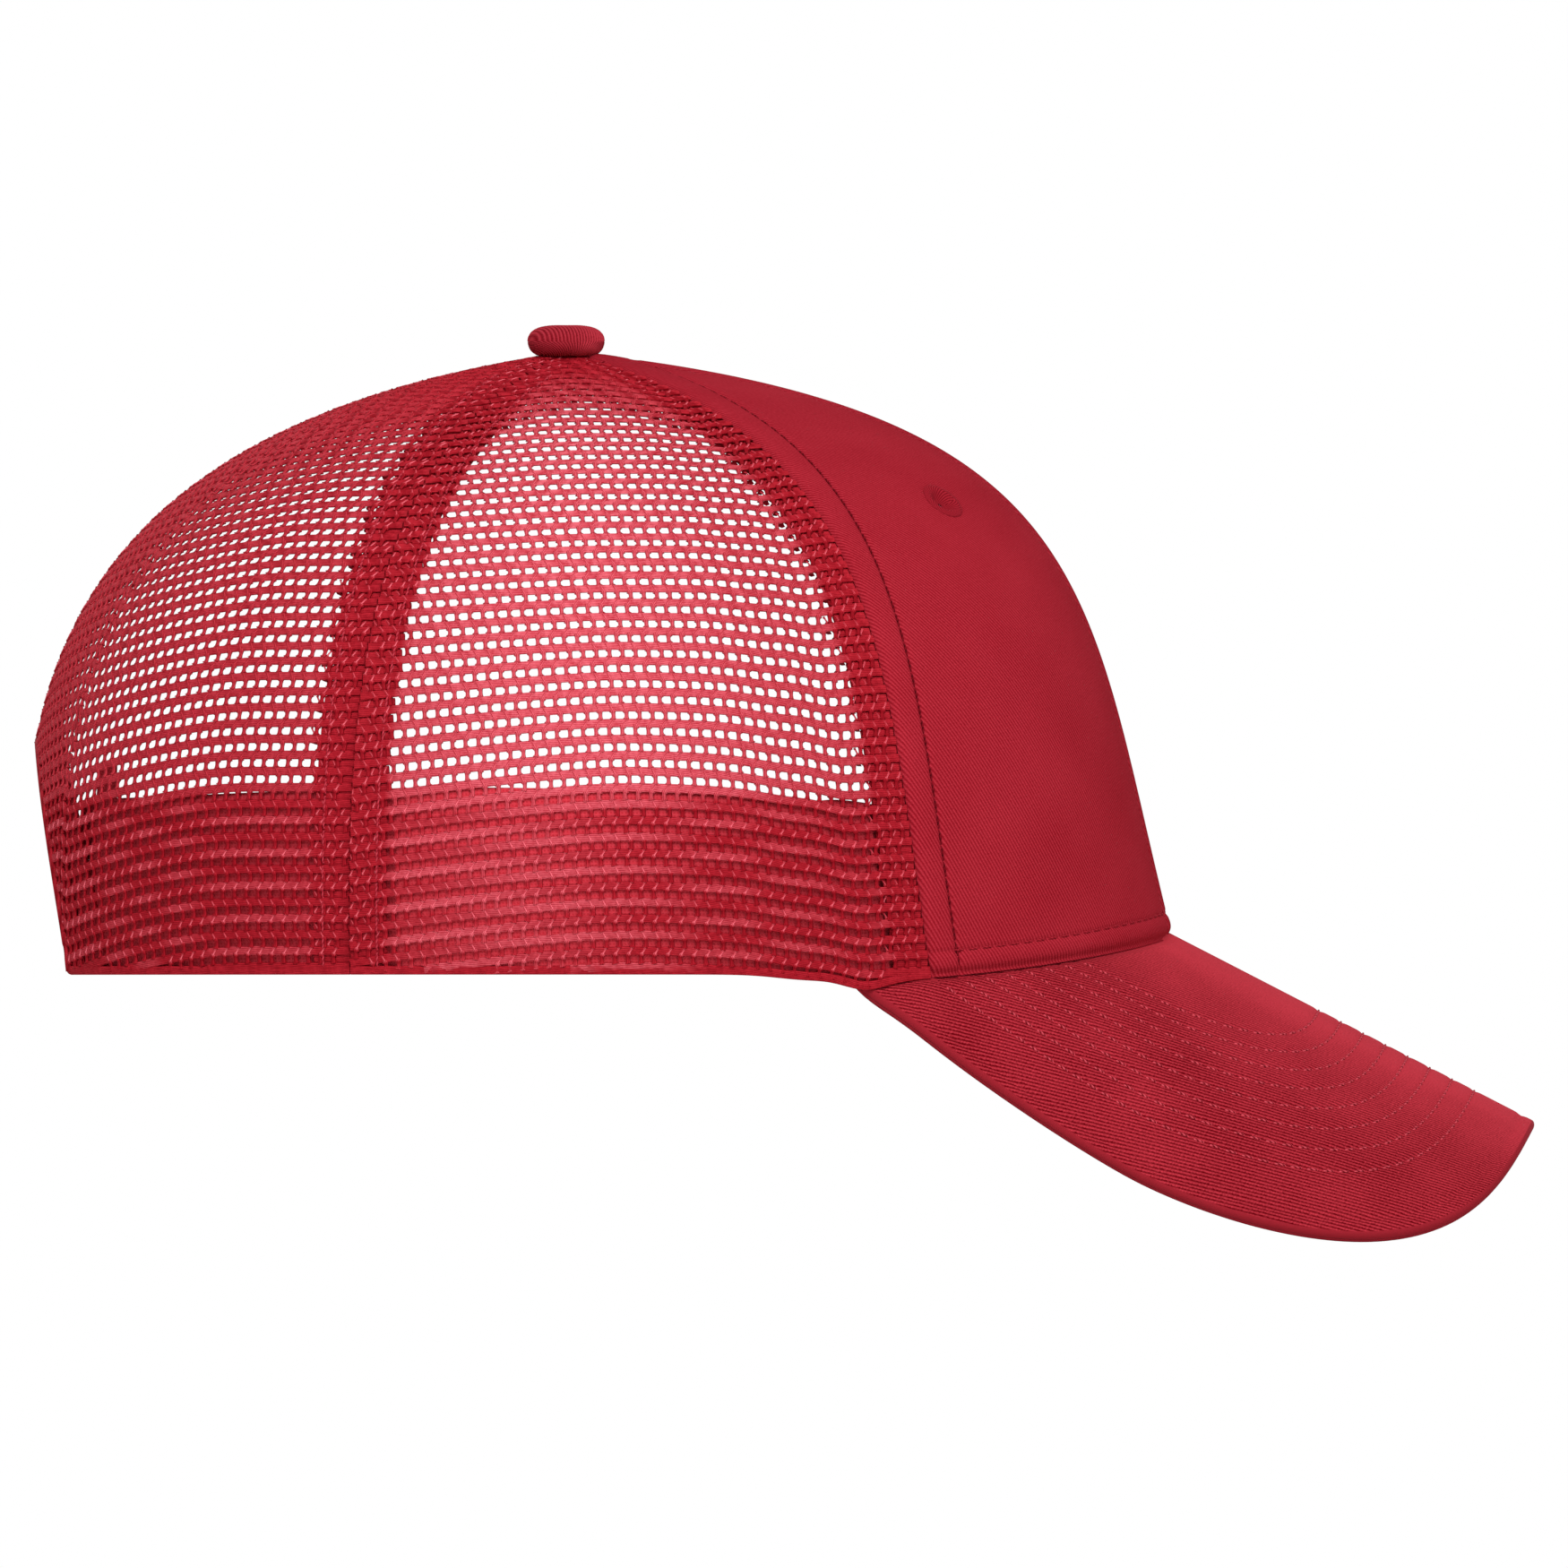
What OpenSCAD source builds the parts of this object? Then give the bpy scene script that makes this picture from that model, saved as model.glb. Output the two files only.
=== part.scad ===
// Trucker cap: two stiffened twill front panels, four mesh panels behind them, a curved bill,
// a sweatband, a covered button on top and a snap closure behind the back arch.
// The origin is the centre of the head opening, +X is the front, +Z is up, the wearer's left is +Y.
// Millimetres. An angle on the crown is counted from the front, a height v runs from 0 at the
// lower edge to 1 at the top.

/* [Crown] */
// Front edge of the head opening, ahead of the origin
crown_front = 102.5; // [100:0.5:106]
// Back edge of the head opening, behind the origin
crown_back = 110; // [108:0.5:112]
// Half width of the head opening
crown_half_width = 82; // [80:0.5:86]
// Height of the crown's top above the head opening
crown_height = 115.8; // [112:0.2:120]
// How far the crown's top lies behind the origin
crown_top_back = 10.2; // [8:0.2:12]
// Squareness of the oval's back half, 0 for an ellipse
back_squareness = 0.2; // [0.15:0.01:0.25]
// Angle of the seam between front panel and side mesh
front_seam_angle = 52.9; // [50:0.1:56]
// Angle of the seam between side mesh and back mesh
side_seam_angle = 110.1; // [106:0.1:114]

/* [Crown curve] */
// Forward reach of the waist, which pulls the lower wall
waist_front = 86; // [84:0.5:90]
// Height of the waist at the front
waist_front_height = 71; // [68:0.5:74]
// Backward reach of the waist
waist_back = 116; // [113:0.5:119]
// Height of the waist at the back
waist_back_height = 59.5; // [56:0.5:63]
// Half width of the waist
waist_half_width = 93; // [90:0.5:96]
// Height of the waist at the sides
waist_side_height = 53; // [50:0.5:56]
// Forward reach of the shoulder, which pulls the upper wall
shoulder_front = 91; // [88:0.5:94]
// Height of the shoulder at the front
shoulder_front_height = 105; // [102:0.5:108]
// Backward reach of the shoulder
shoulder_back = 97.5; // [94:0.5:101]
// Height of the shoulder at the back
shoulder_back_height = 103.3; // [101:0.1:106]
// Half width of the shoulder
shoulder_half_width = 70; // [67:0.5:73]
// Height of the shoulder at the sides
shoulder_side_height = 99; // [96:0.5:102]

/* [Cloth] */
// Thickness of the front panels and of the mesh
panel_t = 0.8; // [0.6:0.1:0.9]
// Thickness of the buckram behind the front panels
buckram_t = 0.5; // [0.4:0.1:0.6]
// Thickness of the seam tapes
tape_t = 0.5; // [0.4:0.1:0.6]
// Width of the seam tapes
tape_w = 12; // [10:0.5:13]
// Height of the sweatband
band_h = 32; // [28:1:36]
// Thickness of the sweatband
band_t = 0.8; // [0.6:0.1:1]
// Thickness of the interlining behind the sweatband
lining_t = 0.5; // [0.4:0.1:0.6]

/* [Bill] */
// Radius of the bill's curve from side to side
bill_radius = 93; // [91:0.5:96]
// Downward slope of the bill's ridge
bill_slope = 27.3; // [26:0.1:29]
// Height of the bill's ridge where it meets the crown
bill_root_z = 7.8; // [7:0.1:8.6]
// Length of the bill along its ridge
bill_reach = 75.5; // [72:0.5:79]
// Half width of the bill, measured along its curve
bill_half_arc = 92; // [90:0.5:94]
// Thickness of the board inside the bill
board_t = 1.9; // [1.6:0.1:2.2]
// Thickness of each of the bill's covers
cover_t = 0.7; // [0.5:0.1:0.8]

/* [Button and eyelets] */
// Radius of the button on top
button_r = 7; // [6.5:0.1:7.5]
// Height of the button
button_h = 5.2; // [5:0.1:5.8]
// Radius of the sewn eyelets
eyelet_r = 3.9; // [3.4:0.1:4.4]
// Radius of the hole in an eyelet
eyelet_hole_r = 1.3; // [1:0.1:1.6]
// Angle of the eyelets from the front
eyelet_angle = 28.7; // [24:0.1:32]
// Height of the eyelets
eyelet_z = 88; // [84:0.5:90]

/* [Back closure] */
// Half width of the arch at the lower edge
arch_half_width = 36; // [35:0.5:38]
// Height of the arch
arch_height = 43; // [41:0.5:45]
// Height of the straps
strap_h = 18; // [16:0.5:19]
// Thickness of the straps
strap_t = 1.2; // [1:0.1:1.4]
// Radius of the straps' curve
strap_radius = 1500; // [1200:100:2000]
// Distance of the closed straps behind the origin
strap_back = 103.83; // [103.63:0.01:104.03]
// Height of the straps' middle line
strap_z = 12; // [11.5:0.5:12.5]
// Backward lean of the straps
strap_lean = 3; // [2:0.5:4]
// Distance of each strap's fold line from the middle
fold_y = 29.2; // [29:0.1:29.6]
// Distance of each strap's free tip from the middle
tip_y = 26.5; // [26:0.1:27]
// Distance between pegs
peg_pitch = 8.5; // [8:0.1:8.6]
// Radius of a peg
peg_r = 2; // [1.8:0.1:2.1]
// Radius of a hole in the strap
hole_r = 2.7; // [2.6:0.1:2.8]

/* [Hidden] */
$fn = 64;

red_twill = "firebrick";
red_mesh = "crimson";
red_plastic = "darkred";
layer_gap = 0.3;
seam_gap = 0.1;
cut_over = 2;

// Depth of each layer's outer face under the outside of the crown
buckram_depth = panel_t + 0.2;
front_tape_depth = buckram_depth + buckram_t + layer_gap;
back_tape_depth = panel_t + layer_gap;
lining_depth = front_tape_depth + tape_t + layer_gap;
band_depth = lining_depth + lining_t + layer_gap;
band_inside = band_depth + band_t;
tab_depth = back_tape_depth + tape_t + layer_gap;

// The ovals that shape the crown: front, back, centre, half width, heights at front, side, back
base_oval = [crown_front, crown_back, -10, crown_half_width, 0, 0, 0];
waist_oval = [waist_front, waist_back, -8, waist_half_width,
    waist_front_height, waist_side_height, waist_back_height];
shoulder_oval = [shoulder_front, shoulder_back, -13, shoulder_half_width,
    shoulder_front_height, shoulder_side_height, shoulder_back_height];
crown_top = [-crown_top_back, 0, crown_height];

// Where panels, tapes and buckram end below the top, and where the bill ends on the oval
panel_top_v = 0.987;
tape_top_v = 0.93;
bill_corner_angle = 62;
buckram_inset = 1.2;
lining_end_angle = 142;
band_end_angle = 153.5;
tab_end_y = 47;
tab_bend_y = 37.5;
tab_free_y = fold_y + 2.8;

function span(a, b, n) = [for (i = [0:n]) a + (b - a) * i / n];
function bezier(a, b, c, d, v) =
    let (w = 1 - v) w * w * w * a + 3 * w * w * v * b + 3 * w * v * v * c + v * v * v * d;
function ease(k) = let (c = min(1, max(0, k))) c * c * (3 - 2 * c);

// A point of an oval at an angle, its back half squared off
function squared(k) = k * (1 + back_squareness * (1 - k * k));
function oval(o, t) = let (c = cos(t), s = sin(t)) [
    c >= 0 ? o[2] + (o[0] - o[2]) * c : o[2] - (o[2] + o[1]) * squared(-c),
    o[3] * s,
    o[5] * s * s + (c >= 0 ? o[4] : o[6]) * c * c];

// Height of the bill's top, a cylinder lying along the sloping ridge
function bill_top(x, y) = bill_root_z + (sqrt(max(0, bill_radius * bill_radius - y * y))
    - bill_radius - (x - crown_front) * sin(bill_slope)) / cos(bill_slope);
function edge_z(t, x, y) = abs(t) < bill_corner_angle ? max(0, bill_top(x, y)) : 0;

// The outside of the crown: at each angle one curve from the edge past waist and shoulder to the top
function rim(t) = let (p = oval(base_oval, t)) [p.x, p.y, edge_z(t, p.x, p.y)];
function crown(t, v) = bezier(rim(t), oval(waist_oval, t), oval(shoulder_oval, t), crown_top, v);
function crown_normal(t, v) = let (w = min(0.99, max(0.01, v)),
    n = cross(crown(t + 0.5, w) - crown(t - 0.5, w), crown(t, w + 0.01) - crown(t, w - 0.01)))
    n / norm(n);

// A point at a depth under the outside; the lowest row rests on the bill or ends level
function layer(t, v, depth) = let (p = crown(t, v) - depth * crown_normal(t, v))
    v > 0 ? p : [p.x, p.y, edge_z(t, p.x, p.y) + (abs(t) < bill_corner_angle ? layer_gap : 0)];

// The height v at which the crown reaches z, and the place [t, v] on its back at a given y and z
function v_at(t, z, low = 0, high = 1, n = 24) = let (mid = (low + high) / 2)
    n == 0 ? mid : crown(t, mid).z < z ? v_at(t, z, mid, high, n - 1) : v_at(t, z, low, mid, n - 1);
function angle_at(y, v) = 180 - asin(y / crown(90, v).y);
function back_place(y, z) = let (first = angle_at(y, v_at(180, z)), t = angle_at(y, v_at(first, z)))
    [t, z <= 0 ? 0 : v_at(t, z)];

// Half angle of a tape of width tape_w at a place on a seam
function tape_angle(t, v) = let (p = crown(t, v) - crown_top) asin(min(0.9, tape_w / 2 / norm([p.x, p.y])));

// A closed sheet between two depths over a grid of places [t, v], column by column.
// depths gives the outer depth of each column.
module sheet(grid, depths, thickness) {
    columns = len(grid);
    rows = len(grid[0]);
    function at(face, c, r) = (face * columns + c) * rows + r;
    function quad(a, b, c, d) = [[a, b, c], [a, c, d]];
    points = [for (extra = [0, thickness]) for (c = [0:columns - 1]) for (place = grid[c])
        layer(place[0], place[1], depths[c] + extra)];
    outside = [for (c = [0:columns - 2]) for (r = [0:rows - 2])
        each quad(at(0, c, r), at(0, c, r + 1), at(0, c + 1, r + 1), at(0, c + 1, r))];
    inside = [for (c = [0:columns - 2]) for (r = [0:rows - 2])
        each quad(at(1, c, r), at(1, c + 1, r), at(1, c + 1, r + 1), at(1, c, r + 1))];
    lower = [for (c = [0:columns - 2])
        each quad(at(0, c, 0), at(0, c + 1, 0), at(1, c + 1, 0), at(1, c, 0))];
    upper = [for (c = [0:columns - 2])
        each quad(at(0, c, rows - 1), at(1, c, rows - 1), at(1, c + 1, rows - 1), at(0, c + 1, rows - 1))];
    first = [for (r = [0:rows - 2]) each quad(at(0, 0, r), at(1, 0, r), at(1, 0, r + 1), at(0, 0, r + 1))];
    last = let (c = columns - 1) [for (r = [0:rows - 2])
        each quad(at(0, c, r), at(0, c, r + 1), at(1, c, r + 1), at(1, c, r))];
    polyhedron(points, concat(outside, inside, lower, upper, first, last));
}

module even_sheet(grid, depth, thickness) {
    sheet(grid, [for (column = grid) depth], thickness);
}

// A grid of columns [angle, lowest v] up to a common height v
function panel_grid(columns, top_v, rows) =
    [for (c = columns) [for (v = span(c[1], top_v, rows)) [c[0], v]]];
function plain_columns(from, to, n) = [for (t = span(from, to, n)) [t, 0]];

// A grid along a seam, three places wide
function tape_grid(t, low_v) = [for (side = [-1, 0, 1])
    [for (v = span(low_v, tape_top_v, 16)) [t + side * tape_angle(t, v), v]]];

// The arch's curve, widened by a margin; turn runs from 90 at the left foot to 0 at its top
function arch_place(turn, margin) = back_place((arch_half_width + margin) * sin(turn),
    (arch_height + margin) * cos(turn));

module right_side() {
    mirror([0, 1, 0]) children();
}

// A frame at an eyelet, its Z axis square to the panel
module at_eyelet() {
    v = v_at(eyelet_angle, eyelet_z);
    n = crown_normal(eyelet_angle, v);
    translate(crown(eyelet_angle, v)) rotate([0, acos(n.z), atan2(n.y, n.x)]) children();
}

module eyelet_bore() {
    at_eyelet() cylinder(h = eyelet_r * 3, r = eyelet_hole_r, center = true);
}

// Front panels
module front_panel_left() {
    color(red_twill) difference() {
        even_sheet(panel_grid(plain_columns(seam_gap, front_seam_angle - seam_gap, 10), panel_top_v, 18),
            0, panel_t);
        eyelet_bore();
    }
}

module front_panel_right() {
    right_side() front_panel_left();
}

module front_buckram_left() {
    color("white") difference() {
        even_sheet(panel_grid(plain_columns(buckram_inset, front_seam_angle - buckram_inset, 10), tape_top_v, 16),
            buckram_depth, buckram_t);
        eyelet_bore();
    }
}

module front_buckram_right() {
    right_side() front_buckram_left();
}

// Mesh panels
module side_mesh_left() {
    color(red_mesh)
        even_sheet(panel_grid(plain_columns(front_seam_angle + seam_gap, side_seam_angle - seam_gap, 10),
            panel_top_v, 18), 0, panel_t);
}

module side_mesh_right() {
    right_side() side_mesh_left();
}

module back_mesh_left() {
    arch_columns = [for (turn = span(90, 0.4, 9)) arch_place(turn, 0)];
    wall_columns = plain_columns(side_seam_angle + seam_gap, arch_columns[0][0] - 4, 6);
    color(red_mesh) even_sheet(panel_grid(concat(wall_columns, arch_columns), panel_top_v, 16), 0, panel_t);
}

module back_mesh_right() {
    right_side() back_mesh_left();
}

// Tapes over the seams inside the crown
module front_centre_tape() {
    color(red_twill) even_sheet(tape_grid(0, 0), front_tape_depth, tape_t);
}

module front_seam_tape_left() {
    color(red_twill) even_sheet(tape_grid(front_seam_angle, 0), front_tape_depth, tape_t);
}

module front_seam_tape_right() {
    right_side() front_seam_tape_left();
}

module side_seam_tape_left() {
    color(red_twill) even_sheet(tape_grid(side_seam_angle, 0), back_tape_depth, tape_t);
}

module side_seam_tape_right() {
    right_side() side_seam_tape_left();
}

module back_centre_tape() {
    low_v = arch_place(0, tape_w + 1.5)[1];
    color(red_twill) even_sheet(tape_grid(180, low_v), back_tape_depth, tape_t);
}

module back_arch_tape() {
    grid = [for (turn = span(90, -90, 24)) [for (margin = span(0.4, tape_w, 2)) arch_place(turn, margin)]];
    color(red_twill) even_sheet(grid, back_tape_depth, tape_t);
}

// Sweatband and the strip behind it
function band_grid(end, n, height) = [for (t = span(-end, end, n))
    [for (v = span(0, v_at(t, rim(t).z + height), 4)) [t, v]]];

module sweatband_lining() {
    color("white") even_sheet(band_grid(lining_end_angle, 56, band_h - 2), lining_depth, lining_t);
}

module sweatband() {
    color(red_twill) even_sheet(band_grid(band_end_angle, 60, band_h), band_depth, band_t);
}

// The bill, in a frame with X down through it, Y across and Z out along the ridge
module bill_frame() {
    translate([crown_front, 0, bill_root_z]) rotate([0, 90 + bill_slope, 0]) children();
}

// Half of the flat outline as [along, across], from the middle of the front edge past the shoulder,
// where the bill is widest, to the rear corner. The bows pull the two curves in between.
bill_shoulder = 14.5;
bill_front_bow = [2, 55.5];
bill_side_bow = -4;
bill_rear_bow = [-27, -6.5];
bill_rear_corner = [-51.5, -10.5];
function bill_edge(inset) = let (side = bill_half_arc - inset, front = bill_reach - inset) concat(
    [for (v = span(0, 1, 12))
        bezier([front, 0], [front, 0] + bill_front_bow, [front, side], [bill_shoulder, side], v)],
    [for (v = span(0.125, 1, 7))
        bezier([bill_shoulder, side], [bill_side_bow, side], [0, side] + bill_rear_bow,
            [0, side] + bill_rear_corner, v)]);

// One side of the outline at a depth under the bill's top, seen along the normal of its ridge
function bill_side(inset, depth, side) = [for (p = bill_edge(inset))
    [p.x, side * (bill_radius - depth) * sin(p.y / bill_radius * 180 / PI)]];

// The rear edge under the crown, at a depth inside its outside
function bill_rear(depth) = [for (t = span(-bill_corner_angle, bill_corner_angle, 20))
    let (p = oval(base_oval - depth * [1, 0, 0, 1, 0, 0, 0], t), z = bill_top(p.x, p.y))
    [(p.x - crown_front) * cos(bill_slope) - (z - bill_root_z) * sin(bill_slope), p.y]];

function reversed(list) = [for (i = [len(list) - 1:-1:1]) list[i]];
function bill_outline(inset, depth, rear_depth) = concat(reversed(bill_side(inset, depth, 1)),
    bill_side(inset, depth, -1), bill_rear(rear_depth));

// The part of the bill between two depths under its top, cut to an outline. The cut runs from a little
// over the ridge down past the drop of the corners.
bill_drop = 72;
module bill_layer(top, bottom, inset, rear_depth) {
    bill_frame() intersection() {
        translate([bill_radius, 0, -bill_half_arc]) difference() {
            cylinder(h = bill_half_arc * 2, r = bill_radius - top, $fn = 128);
            translate([0, 0, -cut_over])
                cylinder(h = bill_half_arc * 2 + cut_over * 2, r = bill_radius - bottom, $fn = 128);
        }
        translate([bill_drop, 0, 0]) rotate([0, -90, 0]) linear_extrude(height = bill_drop + cut_over)
            polygon(bill_outline(inset, (top + bottom) / 2, rear_depth));
    }
}

// A cover's turned edge, between two depths, outside the board
module bill_hem(top, bottom, width) {
    difference() {
        bill_layer(top, bottom, 0, band_inside);
        bill_layer(top - cut_over, bottom + cut_over, width, band_inside + board_inset);
    }
}

bill_gap = 0.1;
board_inset = cover_t + 1;
board_top = cover_t + bill_gap;
board_bottom = board_top + board_t;
bill_middle = (board_top + board_bottom) / 2;
bill_bottom = board_bottom + bill_gap + cover_t;

module bill_board() {
    color("white") bill_layer(board_top, board_bottom, board_inset, band_inside);
}

module bill_top_cover() {
    color(red_twill) union() {
        bill_layer(0, cover_t, 0, band_inside);
        bill_hem(cover_t - 0.1, bill_middle - bill_gap, cover_t);
    }
}

module bill_under_cover() {
    color(red_twill) union() {
        bill_layer(bill_bottom - cover_t, bill_bottom, 0, band_inside);
        bill_hem(bill_middle + bill_gap, bill_bottom - cover_t + 0.1, cover_t);
    }
}

// The button on top: profiles as [radius, height above the crown's top]
module on_top() {
    translate(crown_top) rotate_extrude() children();
}

module button_shell() {
    color("silver") on_top() polygon([[4.8, 1], [5.9, 1], [6.2, 1.3], [6.2, 1.9], [5.5, 3.05],
        [3.9, 3.9], [0, 4.4], [0, 3.8], [3.7, 3.35], [5, 2.6], [5.6, 1.7], [4.8, 1.7]]);
}

module button_cover() {
    color(red_twill) on_top() polygon([[4.6, 0.2], [6.2, 0.2], [button_r, 1], [button_r, 2.2], [6.2, 3.6],
        [4.2, 4.7], [0, button_h], [0, 4.6], [4, 4.1], [5.7, 3.2], [6.35, 2], [6.35, 1.15], [6, 0.8],
        [4.6, 0.8]]);
}

module button_prong() {
    color("silver") on_top() polygon([[0, -3.6], [5.2, -3.6], [5.2, -2.9], [1.2, -2.9], [1.2, 3.4], [0, 3.4]]);
}

// Sewn eyelets, standing proud of the panel
module eyelet_left() {
    color(red_twill) at_eyelet() translate([0, 0, 0.25]) rotate_extrude()
        polygon([[eyelet_hole_r, 0], [eyelet_r, 0], [eyelet_r - 0.5, 0.5], [eyelet_hole_r + 0.7, 0.6],
            [eyelet_hole_r, 0.3]]);
}

module eyelet_right() {
    right_side() eyelet_left();
}

// The straps, in a leaning frame: x = 0 is the outer strap's outside at the middle, z = 0 mid height
module strap_frame() {
    translate([-strap_back, 0, strap_z]) rotate([0, -strap_lean, 0]) children();
}

peg_strap_depth = strap_t + layer_gap;
peg_tip = 0.9;
strap_facets = 1024;
peg_angles = [for (i = [-2.5:1:2.5]) i * peg_pitch / strap_radius * 180 / PI];

// A curved strip at a depth, from a round fold on one side to a round tip on the other
module strap_strip(depth, side) {
    middle_r = strap_radius - depth - strap_t / 2;
    intersection() {
        translate([strap_radius, 0, -strap_h]) difference() {
            cylinder(h = strap_h * 2, r = strap_radius - depth, $fn = strap_facets);
            translate([0, 0, -cut_over])
                cylinder(h = strap_h * 2 + cut_over * 2, r = strap_radius - depth - strap_t, $fn = strap_facets);
        }
        rotate([0, 90, 0]) linear_extrude(height = strap_h * 2, center = true) union() {
            translate([0, -side * (tip_y - strap_h / 2)]) circle(r = strap_h / 2);
            translate([-strap_h / 2, side > 0 ? strap_h / 2 - tip_y : -fold_y])
                square([strap_h, fold_y + tip_y - strap_h / 2]);
        }
    }
    translate([strap_radius - sqrt(middle_r * middle_r - fold_y * fold_y), side * fold_y, -strap_h / 2])
        cylinder(h = strap_h, r = strap_t / 2);
}

// A round post or hole through the straps at every peg's place, between two depths
module at_pegs(radius, top, bottom) {
    for (a = peg_angles)
        translate([strap_radius, 0, 0]) rotate([0, -90, a]) translate([0, 0, strap_radius - bottom])
            cylinder(h = bottom - top, r = radius);
}

module hole_strap() {
    color(red_plastic) strap_frame() difference() {
        union() strap_strip(0, 1);
        at_pegs(hole_r, -cut_over, strap_t + cut_over);
    }
}

module peg_strap() {
    color(red_plastic) strap_frame() union() {
        strap_strip(peg_strap_depth, -1);
        at_pegs(peg_r, -peg_tip, peg_strap_depth + strap_t / 2);
    }
}

// A strap's sewn end between the arch's tape and the sweatband; it sinks to meet the free strip
hole_tab_sink = 0.9;
peg_tab_sink = 2.4;
module strap_tab(sink) {
    low_z = strap_z - strap_h / 2;
    high_z = strap_z + strap_h / 2;
    places = span(tab_end_y, tab_free_y, 8);
    grid = [for (y = places) [for (z = span(low_z, high_z, 3)) back_place(y, z)]];
    depths = [for (y = places) tab_depth + sink * ease((tab_bend_y - y) / (tab_bend_y - tab_free_y))];
    sheet(grid, depths, strap_t);
}

module hole_strap_tab() {
    color(red_plastic) strap_tab(hole_tab_sink);
}

module peg_strap_tab() {
    color(red_plastic) right_side() strap_tab(peg_tab_sink);
}

front_panel_right();
front_panel_left();
front_buckram_right();
front_buckram_left();
side_mesh_right();
side_mesh_left();
back_mesh_right();
back_mesh_left();
front_centre_tape();
front_seam_tape_right();
front_seam_tape_left();
side_seam_tape_right();
side_seam_tape_left();
back_centre_tape();
back_arch_tape();
sweatband_lining();
sweatband();
bill_board();
bill_top_cover();
bill_under_cover();
button_shell();
button_cover();
button_prong();
eyelet_right();
eyelet_left();
peg_strap_tab();
peg_strap();
hole_strap_tab();
hole_strap();
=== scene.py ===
import bpy
import numpy as np
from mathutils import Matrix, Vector


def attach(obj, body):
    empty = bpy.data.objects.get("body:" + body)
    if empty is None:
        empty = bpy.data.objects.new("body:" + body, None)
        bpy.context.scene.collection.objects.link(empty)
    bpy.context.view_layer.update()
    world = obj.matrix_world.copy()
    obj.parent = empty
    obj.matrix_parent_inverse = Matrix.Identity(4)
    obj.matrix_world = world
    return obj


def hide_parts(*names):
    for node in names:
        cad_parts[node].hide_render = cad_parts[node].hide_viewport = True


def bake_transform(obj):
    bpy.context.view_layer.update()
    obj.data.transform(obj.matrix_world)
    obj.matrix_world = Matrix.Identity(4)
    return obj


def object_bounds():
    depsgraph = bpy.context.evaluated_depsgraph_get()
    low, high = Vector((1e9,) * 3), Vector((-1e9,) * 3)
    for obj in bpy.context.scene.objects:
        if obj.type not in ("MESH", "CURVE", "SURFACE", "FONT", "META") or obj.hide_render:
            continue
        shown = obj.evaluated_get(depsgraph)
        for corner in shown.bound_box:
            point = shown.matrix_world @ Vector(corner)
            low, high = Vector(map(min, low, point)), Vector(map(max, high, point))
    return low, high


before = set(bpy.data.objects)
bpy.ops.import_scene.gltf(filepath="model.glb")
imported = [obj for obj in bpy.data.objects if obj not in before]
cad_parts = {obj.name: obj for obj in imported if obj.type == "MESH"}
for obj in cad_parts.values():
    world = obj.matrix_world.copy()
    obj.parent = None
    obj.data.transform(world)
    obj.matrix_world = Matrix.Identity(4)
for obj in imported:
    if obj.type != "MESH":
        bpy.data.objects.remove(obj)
cad_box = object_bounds()


# Front panels
# Two gores of red cotton twill make the high front. Their edges are turned in at the seams and
# topstitched, and the lower edge is turned up into a puffy hem that sits on the bill.
MM = 0.001
RIM_FRONT = 102.5
RIM_BACK = 110.0
RIM_CENTRE = -10.0
RIM_HALF_WIDTH = 82.0
WAIST = (86, 116, -8, 93, (71, 53, 59.5))
SHOULDER = (91, 97.5, -13, 70, (105, 99, 103.3))
CROWN_TOP = np.array([-10.2, 0.0, 115.8])
FRONT_SEAM = np.radians(52.9)
PANEL_TOP = 0.99
PANEL_T = 0.8
BILL_SLOPE = np.radians(27.3)
BILL_RADIUS = 93.0
BILL_ROOT = np.array([RIM_FRONT, 0.0, 7.8])
BILL_CORNER = np.radians(62)
ARCH_FOOT = np.radians(153.9)
RIM_CORNER = 1.7
RIM_PRESS = 0.9
RIM_PRESS_FADE = 0.12
RIM_DROP = 2.4
RIM_DROP_ANGLE = 1.055
RIM_DIP_ANGLE = 1.155
BILL_SAG = 0.9
TOPSTITCH = 6.4
HEM = 4.7
EYELET_ANGLE = np.radians(28.7)
EYELET_Z = 88.0
EYELET_CUT_R = 3.0


def oval(t, front, back, centre, half_width, heights):
    """Point of an oval at angle t. The back half is squared off: its cosine k becomes k + 0.2 k (1 - k k).
    The height goes from the front's to the side's to the back's with the square of the sine."""
    c, s = np.cos(t), np.sin(t)
    x = np.where(c >= 0, centre + (front - centre) * c,
                 centre + (centre + back) * c * (1 + 0.2 * (1 - c * c)))
    z = heights[1] * s * s + np.where(c >= 0, heights[0], heights[2]) * c * c
    return np.stack([x, half_width * s, z], -1)


def bill_top(x, y):
    """Height of the bill's top over a place in plan: a cylinder lying along the sloping ridge."""
    drop = np.sqrt(np.maximum(BILL_RADIUS ** 2 - y * y, 0)) - BILL_RADIUS
    return BILL_ROOT[2] + (drop - (x - BILL_ROOT[0]) * np.sin(BILL_SLOPE)) / np.cos(BILL_SLOPE)


def ease(k):
    """A smooth step from 0 to 1."""
    k = np.clip(k, 0, 1)
    return k * k * (3 - 2 * k)


def dip(distance, place, width):
    """A bell curve of height one at a place."""
    return np.exp(-((distance - place) / width) ** 2)


def rim_drop(t):
    """How far the crown's edge is drawn down by the rear corners of the bill."""
    return RIM_DROP * dip(np.abs(t), RIM_DROP_ANGLE, 0.055)


def bill_sag(t):
    """How far the bill's root lies under its cylinder: half a sine from the ridge to each corner."""
    return BILL_SAG * np.sin(np.pi * np.clip(np.abs(t) / BILL_CORNER, 0, 1))


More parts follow.
